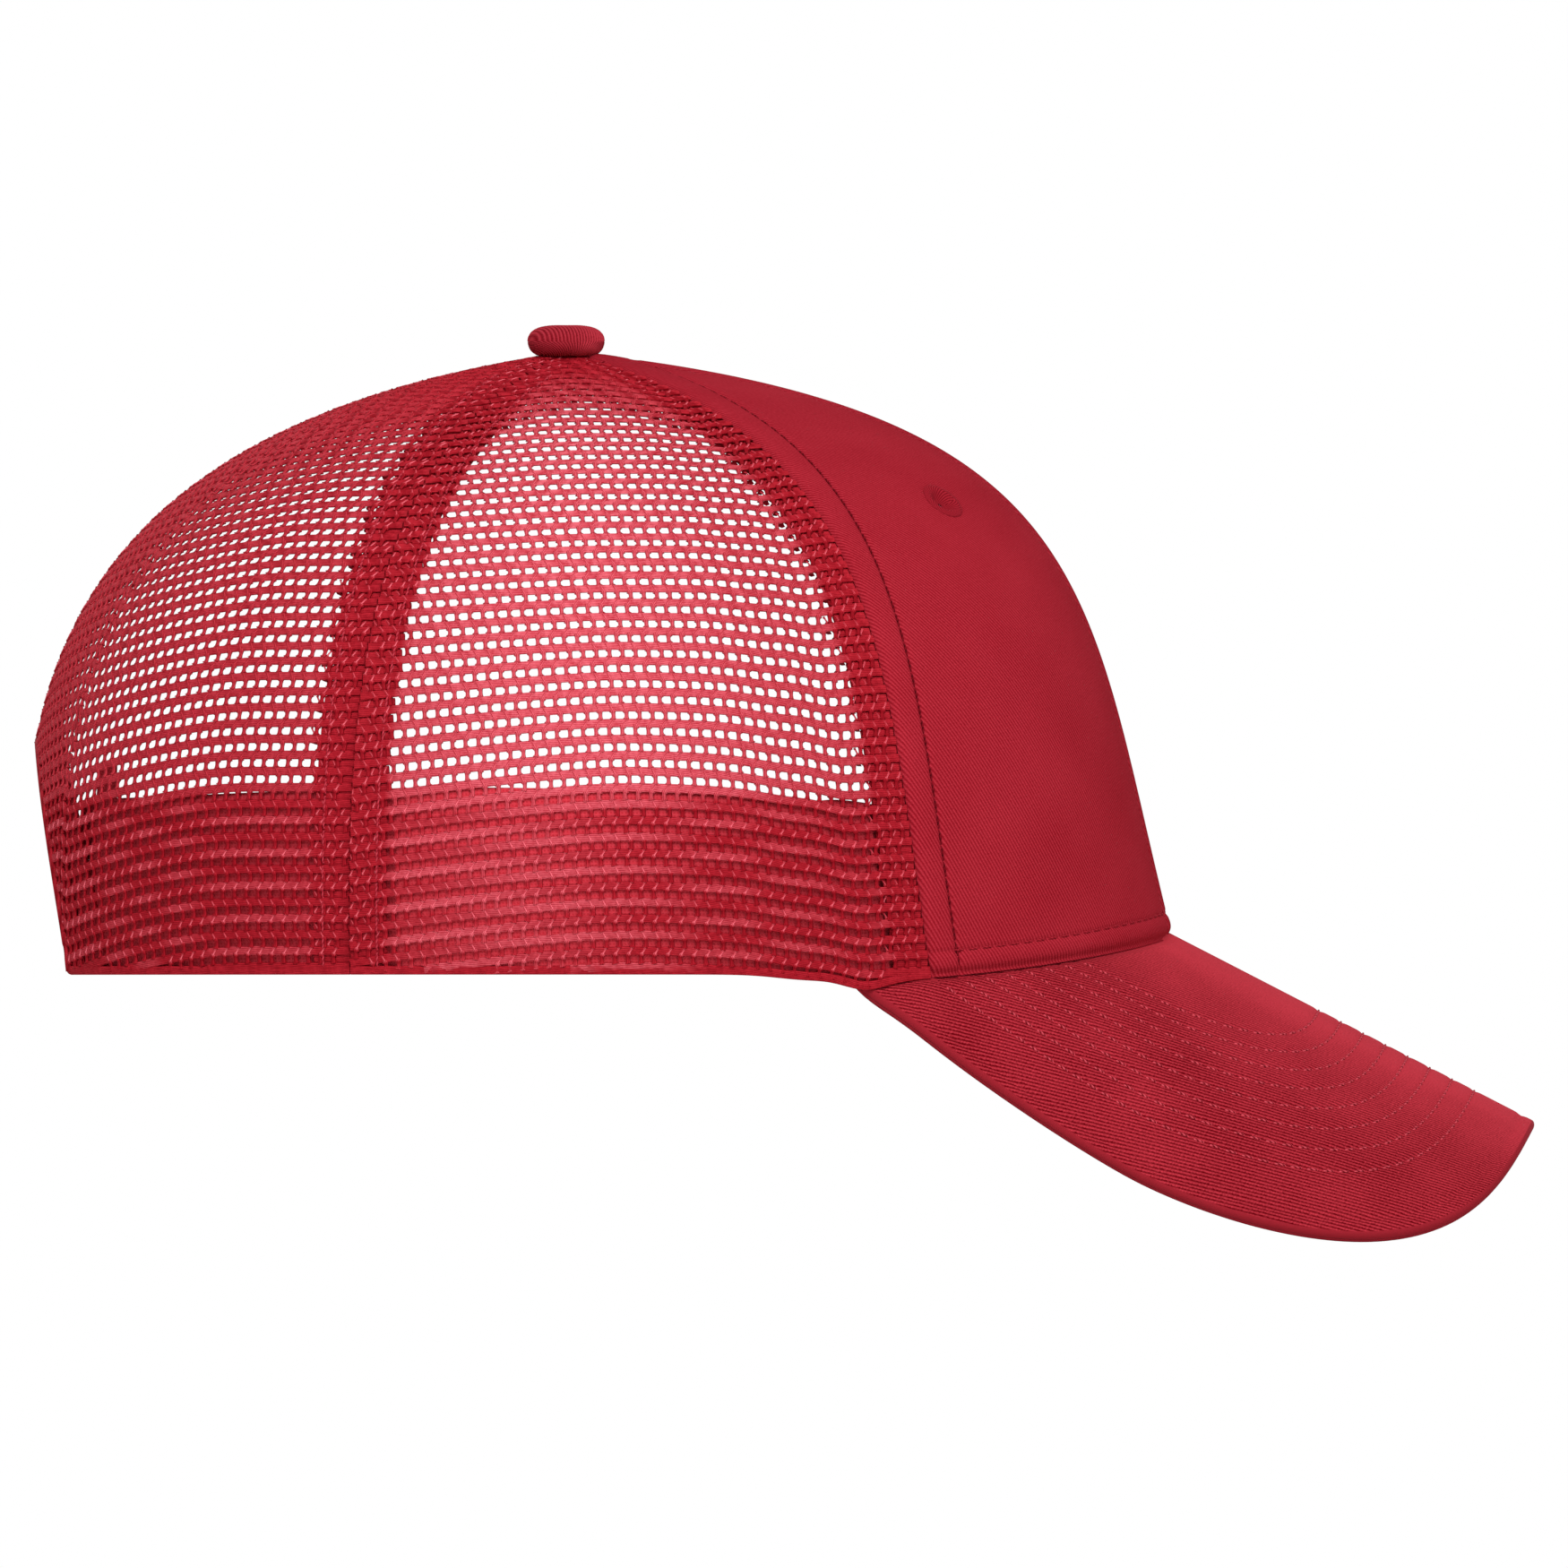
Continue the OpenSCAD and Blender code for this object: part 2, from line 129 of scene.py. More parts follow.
def rim(t):
    """Lower edge of the crown: an oval at height 0. It rises over the bill, into which it is pressed and
    with which it sags, drops at the bill's rear corners, dips a little behind them, and turns up in a
    quarter circle at the foot of the arch."""
    p = oval(t, RIM_FRONT, RIM_BACK, RIM_CENTRE, RIM_HALF_WIDTH, (0, 0, 0))
    t = np.abs(t)
    press = RIM_PRESS * ease((BILL_CORNER - t) / RIM_PRESS_FADE)
    rise = np.maximum(0, bill_top(p[..., 0], p[..., 1])) - press - bill_sag(t)
    past_foot = np.clip(1 + (t - ARCH_FOOT) * RIM_HALF_WIDTH / RIM_CORNER, 0, 1)
    corner = RIM_CORNER * (1 - np.sqrt(1 - past_foot ** 2))
    p[..., 2] = np.where(t < BILL_CORNER, rise, corner) - dip(t, RIM_DIP_ANGLE, 0.08) - rim_drop(t)
    return p


def bezier(a, b, c, d, k):
    """Cubic curve from a to d, pulled toward b and c."""
    a, b, c, d = (np.asarray(corner, float) for corner in (a, b, c, d))
    k = k[..., None]
    w = 1 - k
    return w ** 3 * a + 3 * w * w * k * b + 3 * w * k * k * c + k ** 3 * d


def crown(t, v):
    """Outside of the crown: at each angle one cubic curve from the rim past a waist and a shoulder to the
    top."""
    t, v = np.broadcast_arrays(np.asarray(t, float), np.asarray(v, float))
    return bezier(rim(t), oval(t, *WAIST), oval(t, *SHOULDER), CROWN_TOP, v)


def girth_rate(t, v):
    """Length round the crown for each radian, from a short step to both sides."""
    return np.linalg.norm(crown(t + 0.01, v) - crown(t - 0.01, v), axis=-1) / 0.02


def unit(vectors):
    """Vectors scaled to length one."""
    return vectors / np.maximum(np.linalg.norm(vectors, axis=-1, keepdims=True), 1e-12)


def crown_normal(t, v):
    """Outward normal of the crown: the cross product of its two slopes."""
    v = np.clip(v, 0.006, 0.99)
    along = crown(t + 0.002, v) - crown(t - 0.002, v)
    upward = crown(t, v + 0.004) - crown(t, v - 0.004)
    return unit(np.cross(along, upward))


def lay(t, v, height):
    """A place over the crown: its outside moved out by a height, or in where the height is negative."""
    return crown(t, v) + np.asarray(height)[..., None] * crown_normal(t, v)


def run_length(points, axis):
    """Length run so far along one axis of a grid of points."""
    steps = np.linalg.norm(np.diff(points, axis=axis), axis=-1)
    start = np.zeros_like(np.take(steps, [0], axis=axis))
    return np.concatenate([start, np.cumsum(steps, axis=axis)], axis=axis)


def cloth_uv(points):
    """The uv of a grid of cloth: the lengths run along both of its ways."""
    return np.stack([run_length(points, 0), run_length(points, 1)], -1)


def grid_faces(columns, rows, round_columns=False, round_rows=False):
    """Quads between the neighbours of a grid whose points are numbered column by column."""
    c, r = np.meshgrid(np.arange(columns - (not round_columns)), np.arange(rows - (not round_rows)),
                       indexing="ij")
    d, s = (c + 1) % columns, (r + 1) % rows
    return np.stack([c * rows + r, d * rows + r, d * rows + s, c * rows + s], -1).reshape(-1, 4)


def shell(outer, inner, uv=None, keep=None):
    """A closed sheet: an outer and an inner face over one grid, with walls along every open edge.
    Without a uv of its own it has the outer face's. keep says which quads of the grid are left in."""
    columns, rows = outer.shape[:2]
    uv = cloth_uv(outer) if uv is None else uv
    count = columns * rows
    face = grid_faces(columns, rows)
    if keep is not None:
        face = face[keep(outer.reshape(-1, 3)[face].mean(1))]
    edges = np.stack([face, np.roll(face, -1, axis=1)], -1).reshape(-1, 2)
    lone = ~np.isin(edges[:, 0] * count + edges[:, 1], edges[:, 1] * count + edges[:, 0])
    a, b = edges[lone].T
    walls = np.stack([b, a, a + count, b + count], -1)
    points = np.concatenate([outer.reshape(-1, 3), inner.reshape(-1, 3)])
    used, faces = np.unique(np.concatenate([face, face[:, ::-1] + count, walls]), return_inverse=True)
    flat = np.tile(uv.reshape(-1, 2), (2, 1))
    return points[used], [faces.reshape(-1, 4)], flat[used]


def merged(parts):
    """Several sets of points, faces and uv as one set."""
    starts = np.cumsum([0] + [len(p[0]) for p in parts])
    faces = [f + start for part, start in zip(parts, starts) for f in part[1]]
    return np.concatenate([p[0] for p in parts]), faces, np.concatenate([p[2] for p in parts])


def mirrored(part):
    """The same shape on the wearer's other side."""
    points, faces, uv = part
    return points * [1, -1, 1], [f[:, ::-1] for f in faces], uv * np.array([-1, 1, 1])[:uv.shape[1]]


def add_object(name, data):
    """A new object of the scene, at the origin."""
    thing = bpy.data.objects.new(name, data)
    bpy.context.scene.collection.objects.link(thing)
    return thing


def make_piece(name, part, finish, body="cap", replaces=()):
    """A mesh object from points in millimetres, face arrays and uv in millimetres, riding on a body.
    A third column of the uv is kept as the attribute tone."""
    points, faces, uv = part
    corners = np.concatenate([f.ravel() for f in faces]).astype(np.int32)
    sizes = np.concatenate([np.full(len(f), f.shape[1]) for f in faces])
    mesh = bpy.data.meshes.new(name)
    mesh.vertices.add(len(points))
    mesh.vertices.foreach_set("co", (points * MM).astype(np.float32).ravel())
    mesh.loops.add(len(corners))
    mesh.loops.foreach_set("vertex_index", corners)
    mesh.polygons.add(len(sizes))
    mesh.polygons.foreach_set("loop_start", np.concatenate([[0], np.cumsum(sizes)[:-1]]).astype(np.int32))
    mesh.polygons.foreach_set("use_smooth", np.ones(len(sizes), bool))
    layer = mesh.uv_layers.new(name="cloth")
    layer.data.foreach_set("uv", uv[corners, :2].astype(np.float32).ravel())
    if uv.shape[1] > 2:
        tone = mesh.attributes.new("tone", "FLOAT", "POINT")
        tone.data.foreach_set("value", uv[:, 2].astype(np.float32))
    mesh.update(calc_edges=True)
    mesh.validate()
    mesh.materials.append(finish)
    piece = add_object(name, mesh)
    if body:
        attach(piece, body)
    if replaces:
        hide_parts(*replaces)
    return piece


def make_pair(name, part, finish, node):
    """A piece on the wearer's left and its mirror image on the right, in place of the node of each side."""
    for side, shape in (("left", part), ("right", mirrored(part))):
        make_piece(f"{name}_{side}", shape, finish, replaces=[f"{node}_{side}"])


class Wire:
    """An output socket of a material. Sums and products of wires add Math nodes."""

    def __init__(self, tree, socket=None):
        self.tree = tree
        self.socket = socket

    def node(self, kind, settings=None, inputs=None, output=0):
        """Adds a shader node, sets its settings, then fills or links its inputs, and gives one output."""
        node = self.tree.nodes.new("ShaderNode" + kind)
        for key, value in (settings or {}).items():
            setattr(node, key, value)
        for key, value in (inputs or {}).items():
            if isinstance(value, Wire):
                self.tree.links.new(value.socket, node.inputs[key])
            else:
                node.inputs[key].default_value = value
        return Wire(self.tree, node.outputs[output])

    def out(self, key):
        """Another output of the same node."""
        return Wire(self.tree, self.socket.node.outputs[key])

    def maths(self, operation, first, second=0.0, clamped=False):
        """One Math node on two wires or numbers."""
        return self.node("Math", {"operation": operation, "use_clamp": clamped}, {0: first, 1: second})

    def __add__(self, other):
        return self.maths("ADD", self, other)

    def __sub__(self, other):
        return self.maths("SUBTRACT", self, other)

    def __rsub__(self, other):
        return self.maths("SUBTRACT", other, self)

    def __mul__(self, other):
        return self.maths("MULTIPLY", self, other)

    __radd__ = __add__
    __rmul__ = __mul__

    def wave(self):
        """A sine of this wire, raised to run from 0 to 1."""
        return self.maths("SINE", self) * 0.5 + 0.5

    def held(self):
        """This wire kept between 0 and 1."""
        return self.maths("ADD", self, 0.0, True)

    def between(self, low, high):
        """A colour between two colours."""
        return self.node("Mix", {"data_type": "RGBA"}, {0: self.held(), 6: low, 7: high}, 2)

    def into(self, socket):
        """Links this wire to a socket."""
        self.tree.links.new(self.socket, socket)

    def cloth(self):
        """The place on the cloth's uv map, and its two parts."""
        place = self.node("UVMap", {"uv_map": "cloth"})
        u = self.node("SeparateXYZ", None, {0: place})
        return place, u, u.out(1)

    def noise(self, scale, detail):
        """A noise over the place that this wire gives."""
        return self.node("TexNoise", None, {"Vector": self, "Scale": scale, "Detail": detail})

    def raise_surface(self, shader, strength, relief):
        """Bumps a shader's surface with this wire as its height. The relief is in millimetres."""
        bump = self.node("Bump", None, {"Strength": strength, "Distance": relief * MM, "Height": self})
        bump.into(shader.inputs["Normal"])


def paint(red, green, blue):
    """A colour given as on a screen, 0 to 255, as the linear colour that a shader takes."""
    c = np.array([red, green, blue]) / 255
    linear = np.where(c <= 0.04045, c / 12.92, ((c + 0.055) / 1.055) ** 2.4)
    return (*linear.tolist(), 1.0)


def new_finish(name, levels):
    """A material with one Principled shader. levels are the sockets that are the same all over."""
    material = bpy.data.materials.new(name)
    material.use_nodes = True
    shader = material.node_tree.nodes["Principled BSDF"]
    for key, value in levels.items():
        shader.inputs[key].default_value = value
    return material, shader, Wire(material.node_tree)


def twill_finish(name, deep, light, lean, pitch, relief, grain=0.6, crest=0.0, extra=None):
    """Twill: a raised sine across ribs that lean over the cloth, broken along each rib into short floats,
    with yarn fuzz and a slow change of shade. Within the distance crest of the line v = 0 the cloth is
    painted paler, a painted highlight along the ridge, and its ribs are flatter there, and where the
    attribute tone is 1 it has no ribs."""
    levels = {"Roughness": 1.0, "Specular IOR Level": 0.02, **(extra or {})}
    material, shader, wire = new_finish(name, levels)
    cloth, u, w = wire.cloth()
    c, s = float(np.cos(np.radians(lean))), float(np.sin(np.radians(lean)))
    across = (u * c + w * s) * (2 * np.pi / pitch)
    along = (w * c - u * s) * (2 * np.pi / (0.7 * pitch))
    fuzz = cloth.noise(2.2, 3.0)
    wash = cloth.noise(0.05, 2.0)
    rib = (across + fuzz * 1.6).wave()
    floats = (along + across * 0.5).wave()
    height = rib * 0.75 + rib * floats * 0.25
    shade = height * 0.75 + fuzz * grain + wash * 0.4 - 0.1 - grain * 0.5
    if crest:
        # Painted highlight: the cloth is painted paler toward the ridge, where light from above falls; the
        # same weight flattens the ribs there.
        painted_ridge_light = ((crest - wire.maths("ABSOLUTE", w)) * (1.45 / crest)).held()
        painted_ridge_light = painted_ridge_light * painted_ridge_light
        plain = wire.node("Attribute", {"attribute_name": "tone"}, None, 2)
        shade = shade + painted_ridge_light * (0.7 - height * 0.4) - 0.04
        shade = shade * (1 - plain) + plain * 0.42
        height = height * (1 - painted_ridge_light * 0.6) * (1 - plain)
    shade.between(deep, light).into(shader.inputs["Base Color"])
    (height + fuzz * 0.3).raise_surface(shader, 0.7, relief)
    return material


def place_at_height(t, z):
    """The height v at which the crown reaches z at angle t, by halving."""
    low, high = np.zeros_like(z), np.ones_like(z)
    for _ in range(30):
        middle = (low + high) / 2
        below = crown(t, middle)[..., 2] < z
        low, high = np.where(below, middle, low), np.where(below, high, middle)
    return low


eyelet_v = place_at_height(np.array(EYELET_ANGLE), np.array(EYELET_Z))
eyelet_at = crown(EYELET_ANGLE, eyelet_v)


def clear_of_eyelet(centres):
    """Which faces leave the eyelet's hole open."""
    return np.linalg.norm(centres - eyelet_at, axis=-1) > EYELET_CUT_R


def front_relief(seam, centre, edge):
    """Height of the front's cloth over its even surface, from the distances to its seams and lower edge: it
    is drawn in at every row of stitches and puffed up between the rows and the edges."""
    hem = 0.26 * dip(edge, 2.8, 1.4) - 0.26 * dip(edge, HEM, 0.5) - 0.7 * dip(edge, 0.5, 0.8)
    side = 0.25 * dip(seam, 3.2, 2.2) - 0.5 * dip(seam, TOPSTITCH, 0.5) - 0.8 * dip(seam, 0, 0.8)
    middle = 0.2 * dip(centre, 3.2, 2.2) - 0.3 * dip(centre, TOPSTITCH, 0.5) - 0.5 * dip(centre, 0, 0.7)
    return hem + side + middle


panel_t = FRONT_SEAM * np.concatenate([np.linspace(0.002, 0.12, 30), np.linspace(0.13, 0.86, 60),
                                       np.linspace(0.87, 0.998, 34)])
panel_v = np.concatenate([np.linspace(0, 0.06, 40), np.linspace(0.066, PANEL_TOP, 120)])
t_grid, v_grid = np.meshgrid(panel_t, panel_v, indexing="ij")
panel_points = crown(t_grid, v_grid)
width_rate = girth_rate(t_grid, v_grid)
from_seam = (FRONT_SEAM - t_grid) * width_rate
from_centre = t_grid * width_rate
from_edge = run_length(panel_points, 1)
panel_relief = front_relief(from_seam, from_centre, from_edge)
front_twill = twill_finish("front twill", paint(136, 14, 28), paint(188, 50, 64), 25, 0.7, 0.08)
front_left = shell(lay(t_grid, v_grid, panel_relief), lay(t_grid, v_grid, -PANEL_T), cloth_uv(panel_points),
                   clear_of_eyelet)
make_pair("front_twill", front_left, front_twill, "front_panel")


# Topstitching of the front
# A row of dark red thread beside each seam to the mesh, and rows in the cloth's own red beside the centre
# seam and over the hem. Each stitch is a short length of twisted thread that dives in at both ends.
THREAD_R = 0.2
STITCH = 2.7
STITCH_GAP = 0.55
FAR_OFF = 60.0


def ring(count):
    """A round profile of radius one."""
    a = np.arange(count) * 2 * np.pi / count
    return np.stack([np.cos(a), np.sin(a)], -1)


def tubes(paths, normals, profile, widths=1.0, tones=1.0):
    """Closed tubes: a profile carried along each path, its first axis across the path and its second along
    the normal. widths scales the profile at each step. The uv is the length along and the distance across,
    and then the tone of each step."""
    ahead = unit(np.gradient(paths, axis=1))
    across = unit(np.cross(normals, ahead))
    up = np.cross(ahead, across)
    size = np.broadcast_to(widths, paths.shape[:2])[..., None, None]
    section = profile[:, :1] * across[:, :, None] + profile[:, 1:] * up[:, :, None]
    points = paths[:, :, None] + size * section
    many, steps, sides = points.shape[:3]
    side_faces = grid_faces(steps, sides, round_rows=True)
    caps = np.stack([np.arange(sides)[::-1], (steps - 1) * sides + np.arange(sides)])
    shift = (np.arange(many) * steps * sides)[:, None, None]
    tones = np.broadcast_to(tones, paths.shape[:2])
    uv = np.stack(np.broadcast_arrays(run_length(paths, 1)[:, :, None], size[..., 0] * profile[:, 0],
                                      tones[:, :, None]), -1)
    faces = [(side_faces[:, ::-1] + shift).reshape(-1, 4), (caps[:, ::-1] + shift).reshape(-1, sides)]
    return points.reshape(-1, 3), faces, uv.reshape(-1, 3)


def stitches(path, normals, length=STITCH, gap=STITCH_GAP, radius=THREAD_R, keep=None):
    """A row of stitches along a path: each lies on the cloth and its ends sink in with the fourth power."""
    run = run_length(path[None], 1)[0]
    starts = np.arange(0.3, run[-1] - length, length + gap)
    k = np.linspace(0, 1, 6)
    at = starts[:, None] + k * length
    points = np.stack([np.interp(at, run, path[:, i]) for i in range(3)], -1)
    up = unit(np.stack([np.interp(at, run, normals[:, i]) for i in range(3)], -1))
    if keep is not None:
        kept = keep(points[:, 2])
        points, up = points[kept], up[kept]
    points = points + (radius * (0.35 - 1.5 * (2 * k - 1) ** 4))[:, None] * up
    return tubes(points, up, ring(5) * radius)


def thread_finish(name, deep, light):
    """Twisted thread: a sine that winds round it once in each millimetre."""
    material, shader, wire = new_finish(name, {"Roughness": 0.8, "Specular IOR Level": 0.04})
    cloth, u, w = wire.cloth()
    twist = (u * 6.5 + w * 9.0).wave()
    twist.between(deep, light).into(shader.inputs["Base Color"])
    twist.raise_surface(shader, 0.6, 0.05)
    return material


def beside_seam(seam, distance, v):
    """Angle of a line that runs beside a seam at a distance along the crown."""
    return seam + distance / np.maximum(girth_rate(seam, v), 1e-6)


def seam_line(seam, distance, low, high, height, count=400):
    """Path and normals of a line beside a seam, between two heights v."""
    v = np.linspace(low, high, count)
    t = beside_seam(seam, distance, v)
    return lay(t, v, height), crown_normal(t, v)


def hem_line(first, last, rise, height, count=500):
    """Path and normals of a line at a rise over the lower edge, between two angles. A line higher than the
    hem doesn't follow the edge's drop at the bill's rear corners."""
    t = np.linspace(first, last, count)
    v = place_at_height(t, rim(t)[:, 2] + rise + rim_drop(t) * (rise > HEM))
    return lay(t, v, height), crown_normal(t, v)


dark_thread = thread_finish("dark red thread", paint(84, 6, 16), paint(126, 16, 28))
plain_thread = thread_finish("front thread", paint(132, 18, 30), paint(172, 40, 54))
stitch_edge = run_length(seam_line(FRONT_SEAM, -TOPSTITCH, 0.004, 0.97, 0.0)[0][None], 1)[0]
stitch_height = front_relief(TOPSTITCH, FAR_OFF, stitch_edge) + 0.18
front_rows = [stitches(*seam_line(FRONT_SEAM, -TOPSTITCH, 0.004, 0.97, stitch_height), gap=0.3)]
centre_height = front_relief(FAR_OFF, TOPSTITCH, stitch_edge)
hem_rows = [stitches(*seam_line(0.0, TOPSTITCH, 0.004, 0.97, centre_height)),
            stitches(*hem_line(0.004, FRONT_SEAM - 0.005, HEM, -0.2))]
front_rows += [mirrored(row) for row in front_rows]
hem_rows += [mirrored(row) for row in hem_rows]
make_piece("front_topstitching", merged(front_rows), dark_thread)
make_piece("front_hem_stitching", merged(hem_rows), plain_thread)


# Buckram behind the front
# A stiff open weave, white, fused behind each front panel. It keeps the front standing and shows
# only from inside.
BUCKRAM_DEPTH = 1.0
BUCKRAM_T = 0.5
TAPE_TOP = 0.93
BUCKRAM_INSET = np.radians(1.2)


def weave_finish(name, deep, light, pitch, relief):
    """Plain weave: the higher of two crossed sines, warp and weft, with a little fuzz."""
    material, shader, wire = new_finish(name, {"Roughness": 1.0, "Specular IOR Level": 0.03})
    cloth, u, w = wire.cloth()
    warp = (u * (2 * np.pi / pitch)).wave()
    weft = (w * (2 * np.pi / pitch)).wave()
    height = wire.maths("MAXIMUM", warp, weft) * 0.8 + cloth.noise(0.9, 3.0) * 0.3
    (height * 0.9 - 0.1).between(deep, light).into(shader.inputs["Base Color"])
    height.raise_surface(shader, 0.8, relief)
    return material


buckram_t, buckram_v = np.meshgrid(np.linspace(BUCKRAM_INSET, FRONT_SEAM - BUCKRAM_INSET, 60),
                                   np.linspace(0.004, TAPE_TOP, 100), indexing="ij")
buckram_finish = weave_finish("buckram weave", paint(196, 192, 184), paint(232, 229, 222), 1.3, 0.15)
buckram_left = shell(lay(buckram_t, buckram_v, -BUCKRAM_DEPTH),
                     lay(buckram_t, buckram_v, -BUCKRAM_DEPTH - BUCKRAM_T), keep=clear_of_eyelet)
make_pair("front_weave", buckram_left, buckram_finish, "front_buckram")


# Mesh panels
# Two gores on each side of knitted polyester mesh. Bands of laid-in yarn run round the crown, and thin
# pillar threads zigzag down over them and leave rows of rounded holes. Beside the seams the mesh is folded
# under, so it lies double there.
SIDE_SEAM = np.radians(110.1)
SEAM_GAP = np.radians(0.03)
ROW_PITCH = 3.06
HOLE_PITCH = 2.45
FIRST_ROW = -0.26
ROWS = 62
STAGGER = 0.48
SIDE_LEVEL = 84.0
BACK_LEVEL = 121.0
LINING_TOP_Z = 30.0
SLIM_FROM_Z = 76.0
SLIM_END_Z = 107.0
MESH_DEPTH = 0.42
FOLD_DEPTH = 0.98
FOLD_WIDTH = 7.0
ARCH_HALF_WIDTH = 36.0
ARCH_HEIGHT = 43.0
BAND = np.array([[-0.83, 0.0], [-0.66, 0.32], [-0.49, 0.21], [-0.32, 0.36], [-0.16, 0.24], [0.0, 0.38],
                 [0.16, 0.24], [0.32, 0.36], [0.49, 0.21], [0.66, 0.32], [0.83, 0.0],
                 [0.5, -0.34], [0.0, -0.28], [-0.5, -0.34]])
PILLAR = ring(5) * [1.0, 0.75]
PILLAR_STEPS = np.array([-0.27, -0.15, 0.0, 0.15, 0.27, 0.42, 0.58, 0.73])
PILLAR_LEAN = np.array([0.1, 0.02, 0.0, 0.02, 0.1, 0.34, 0.66, 0.9])
PILLAR_WIDTH = np.array([0.76, 0.46, 0.39, 0.46, 0.76, 0.18, 0.16, 0.28])
PILLAR_LIFT = np.array([0.0, 0.0, 0.0, 0.0, 0.0, 0.3, 0.34, 0.2])
# Share of painted tick light along each step of a pillar: the slanting runs over the band get it, the posts
# none.
PILLAR_TICK = np.array([0.0, 0.0, 0.0, 0.0, 0.2, 1.0, 1.0, 0.4])


def side_fall(angle, row):
    """Drop of a side row at an angle in degrees: none on the level line, then along a hyperbola, faster
    toward the back and on the lower rows."""
    away = angle - SIDE_LEVEL
    low = np.clip((24 - row) / 11, 0, 1)
    rate = np.where(away > 0, 0.14 + 0.14 * low, 0.125 * low)
    return rate * (np.sqrt(away * away + 64) - 8)


def back_fall(angle, row):
    """Drop of a back row: level by the side seam, then along a hyperbola toward the middle of the back."""
    away = np.maximum(angle - BACK_LEVEL, 0)
    return 0.315 * (np.sqrt(away * away + 81) - 9) + 0 * row


def look_up(table, row, column):
    """A table's value between its entries: the weighted mean of the four around the place."""
    r = np.clip(row, 0, table.shape[0] - 1.001)
    c = np.clip(column, 0, table.shape[1] - 1.001)
    i, j = r.astype(int), c.astype(int)
    a, b = r - i, c - j
    return ((1 - a) * (1 - b) * table[i, j] + a * (1 - b) * table[i + 1, j]
            + (1 - a) * b * table[i, j + 1] + a * b * table[i + 1, j + 1])


class MeshGore:
    """A mesh panel as a lattice of rows. A place is a row number and a distance along that row from the
    panel's level line. Up each meridian a row lies at its number times the row pitch, less its fall."""

    STEP = 0.25

    def __init__(self, first, last, level, fall):
        self.t = np.linspace(first, last, 161)
        self.fall = fall
        v = np.linspace(0, PANEL_TOP, 241)
        run = run_length(crown(self.t[:, None], v[None]), 1)
        self.marks = np.linspace(0, run.max(), 400)
        self.heights = np.stack([np.interp(self.marks, column, v) for column in run])
        self.total = run[:, -1]
        rows = np.arange(-1, ROWS + 1, self.STEP)
        up = self.up(self.t[None], rows[:, None])
        points = crown(*self.on_crown(np.broadcast_to(self.t, up.shape), up))
        along = run_length(points, 1)
        along -= np.stack([np.interp(level, self.t, row) for row in along])[:, None]
        in_arch = (np.hypot(points[..., 1] / ARCH_HALF_WIDTH, points[..., 2] / ARCH_HEIGHT) < 1.01)
        in_arch &= points[..., 0] < -60
        good = (up > 0.75) & (up < self.total - 0.8) & ~in_arch
        self.empty = ~good.any(1)
        first_good = good.argmax(1)
        last_good = good.shape[1] - 1 - good[:, ::-1].argmax(1)
        index = np.arange(len(rows))
        self.ends = along[index, first_good], along[index, last_good]
        self.sewn = first_good == 0, last_good == good.shape[1] - 1
        self.reach = np.linspace(along.min(), along.max(), 400)
        self.angles = np.stack([np.interp(self.reach, row, self.t) for row in along])

    def up(self, t, row):
        """Length up the meridian at which a row lies."""
        return FIRST_ROW + row * ROW_PITCH - self.fall(np.degrees(t), row) + 0.25 * rim_drop(t)

    def on_crown(self, t, up):
        """Crown angle and height at a length up a meridian."""
        column = (t - self.t[0]) / (self.t[1] - self.t[0])
        return t, look_up(self.heights, column, up / self.marks[1])

    def place(self, row, along):
        """Crown angle and height at a row number and a distance along it."""
        step = self.reach[1] - self.reach[0]
        t = look_up(self.angles, (row + 1) / self.STEP, (along - self.reach[0]) / step)
        return self.on_crown(t, self.up(t, row))

    def row_span(self, row):
        """Both ends of a row, and whether each end lies in a seam."""
        i = int(round((row + 1) / self.STEP))
        return self.ends[0][i], self.ends[1][i], self.sewn[0][i], self.sewn[1][i], self.empty[i]


def fold_width(row):
    """Width of the double mesh beside a seam: even at first, and closing up round the button."""
    return FOLD_WIDTH + 18 * np.clip((row - 39) / 6, 0, 1)


def painted_yarn_light(t, z, painted_shine, gap):
    """Painted light of the yarn, and how far it lies in the open. The yarn is painted bright where light
    comes through the middle of a gore, less over the lining, where painted streaks of light lie across it,
    and least near the top and in the double mesh beside a seam, which is painted darker as shade; gap is
    the distance to that seam. Its shine argument is the painted light at the sides of a gore, that added in
    its middle, and that over the lining."""
    angle = np.degrees(t)
    light = (painted_shine[0] + painted_shine[1] * dip(angle, 88, 20)) * np.clip((112 - z) / 12, 0, 1)
    # Painted streaks of light and shade that wave across the yarn over the lining.
    painted_streak = 0.24 * np.sin(1.03 * z + 2.5 * np.sin(4 * t) + 1.3 * np.sin(9 * t + 1))
    lower = painted_shine[2] * (0.15 + dip(angle, 96, 14)) + painted_streak
    above = np.clip((z - LINING_TOP_Z) / 4, 0, 1)
    # Painted shade: in the double mesh beside a seam the tone drops below 0.
    inside = np.clip((gap - FOLD_WIDTH + 1) / 2, 0, 1)
    return (lower + (light - lower) * above) * inside - 0.1 * (1 - inside), above * inside


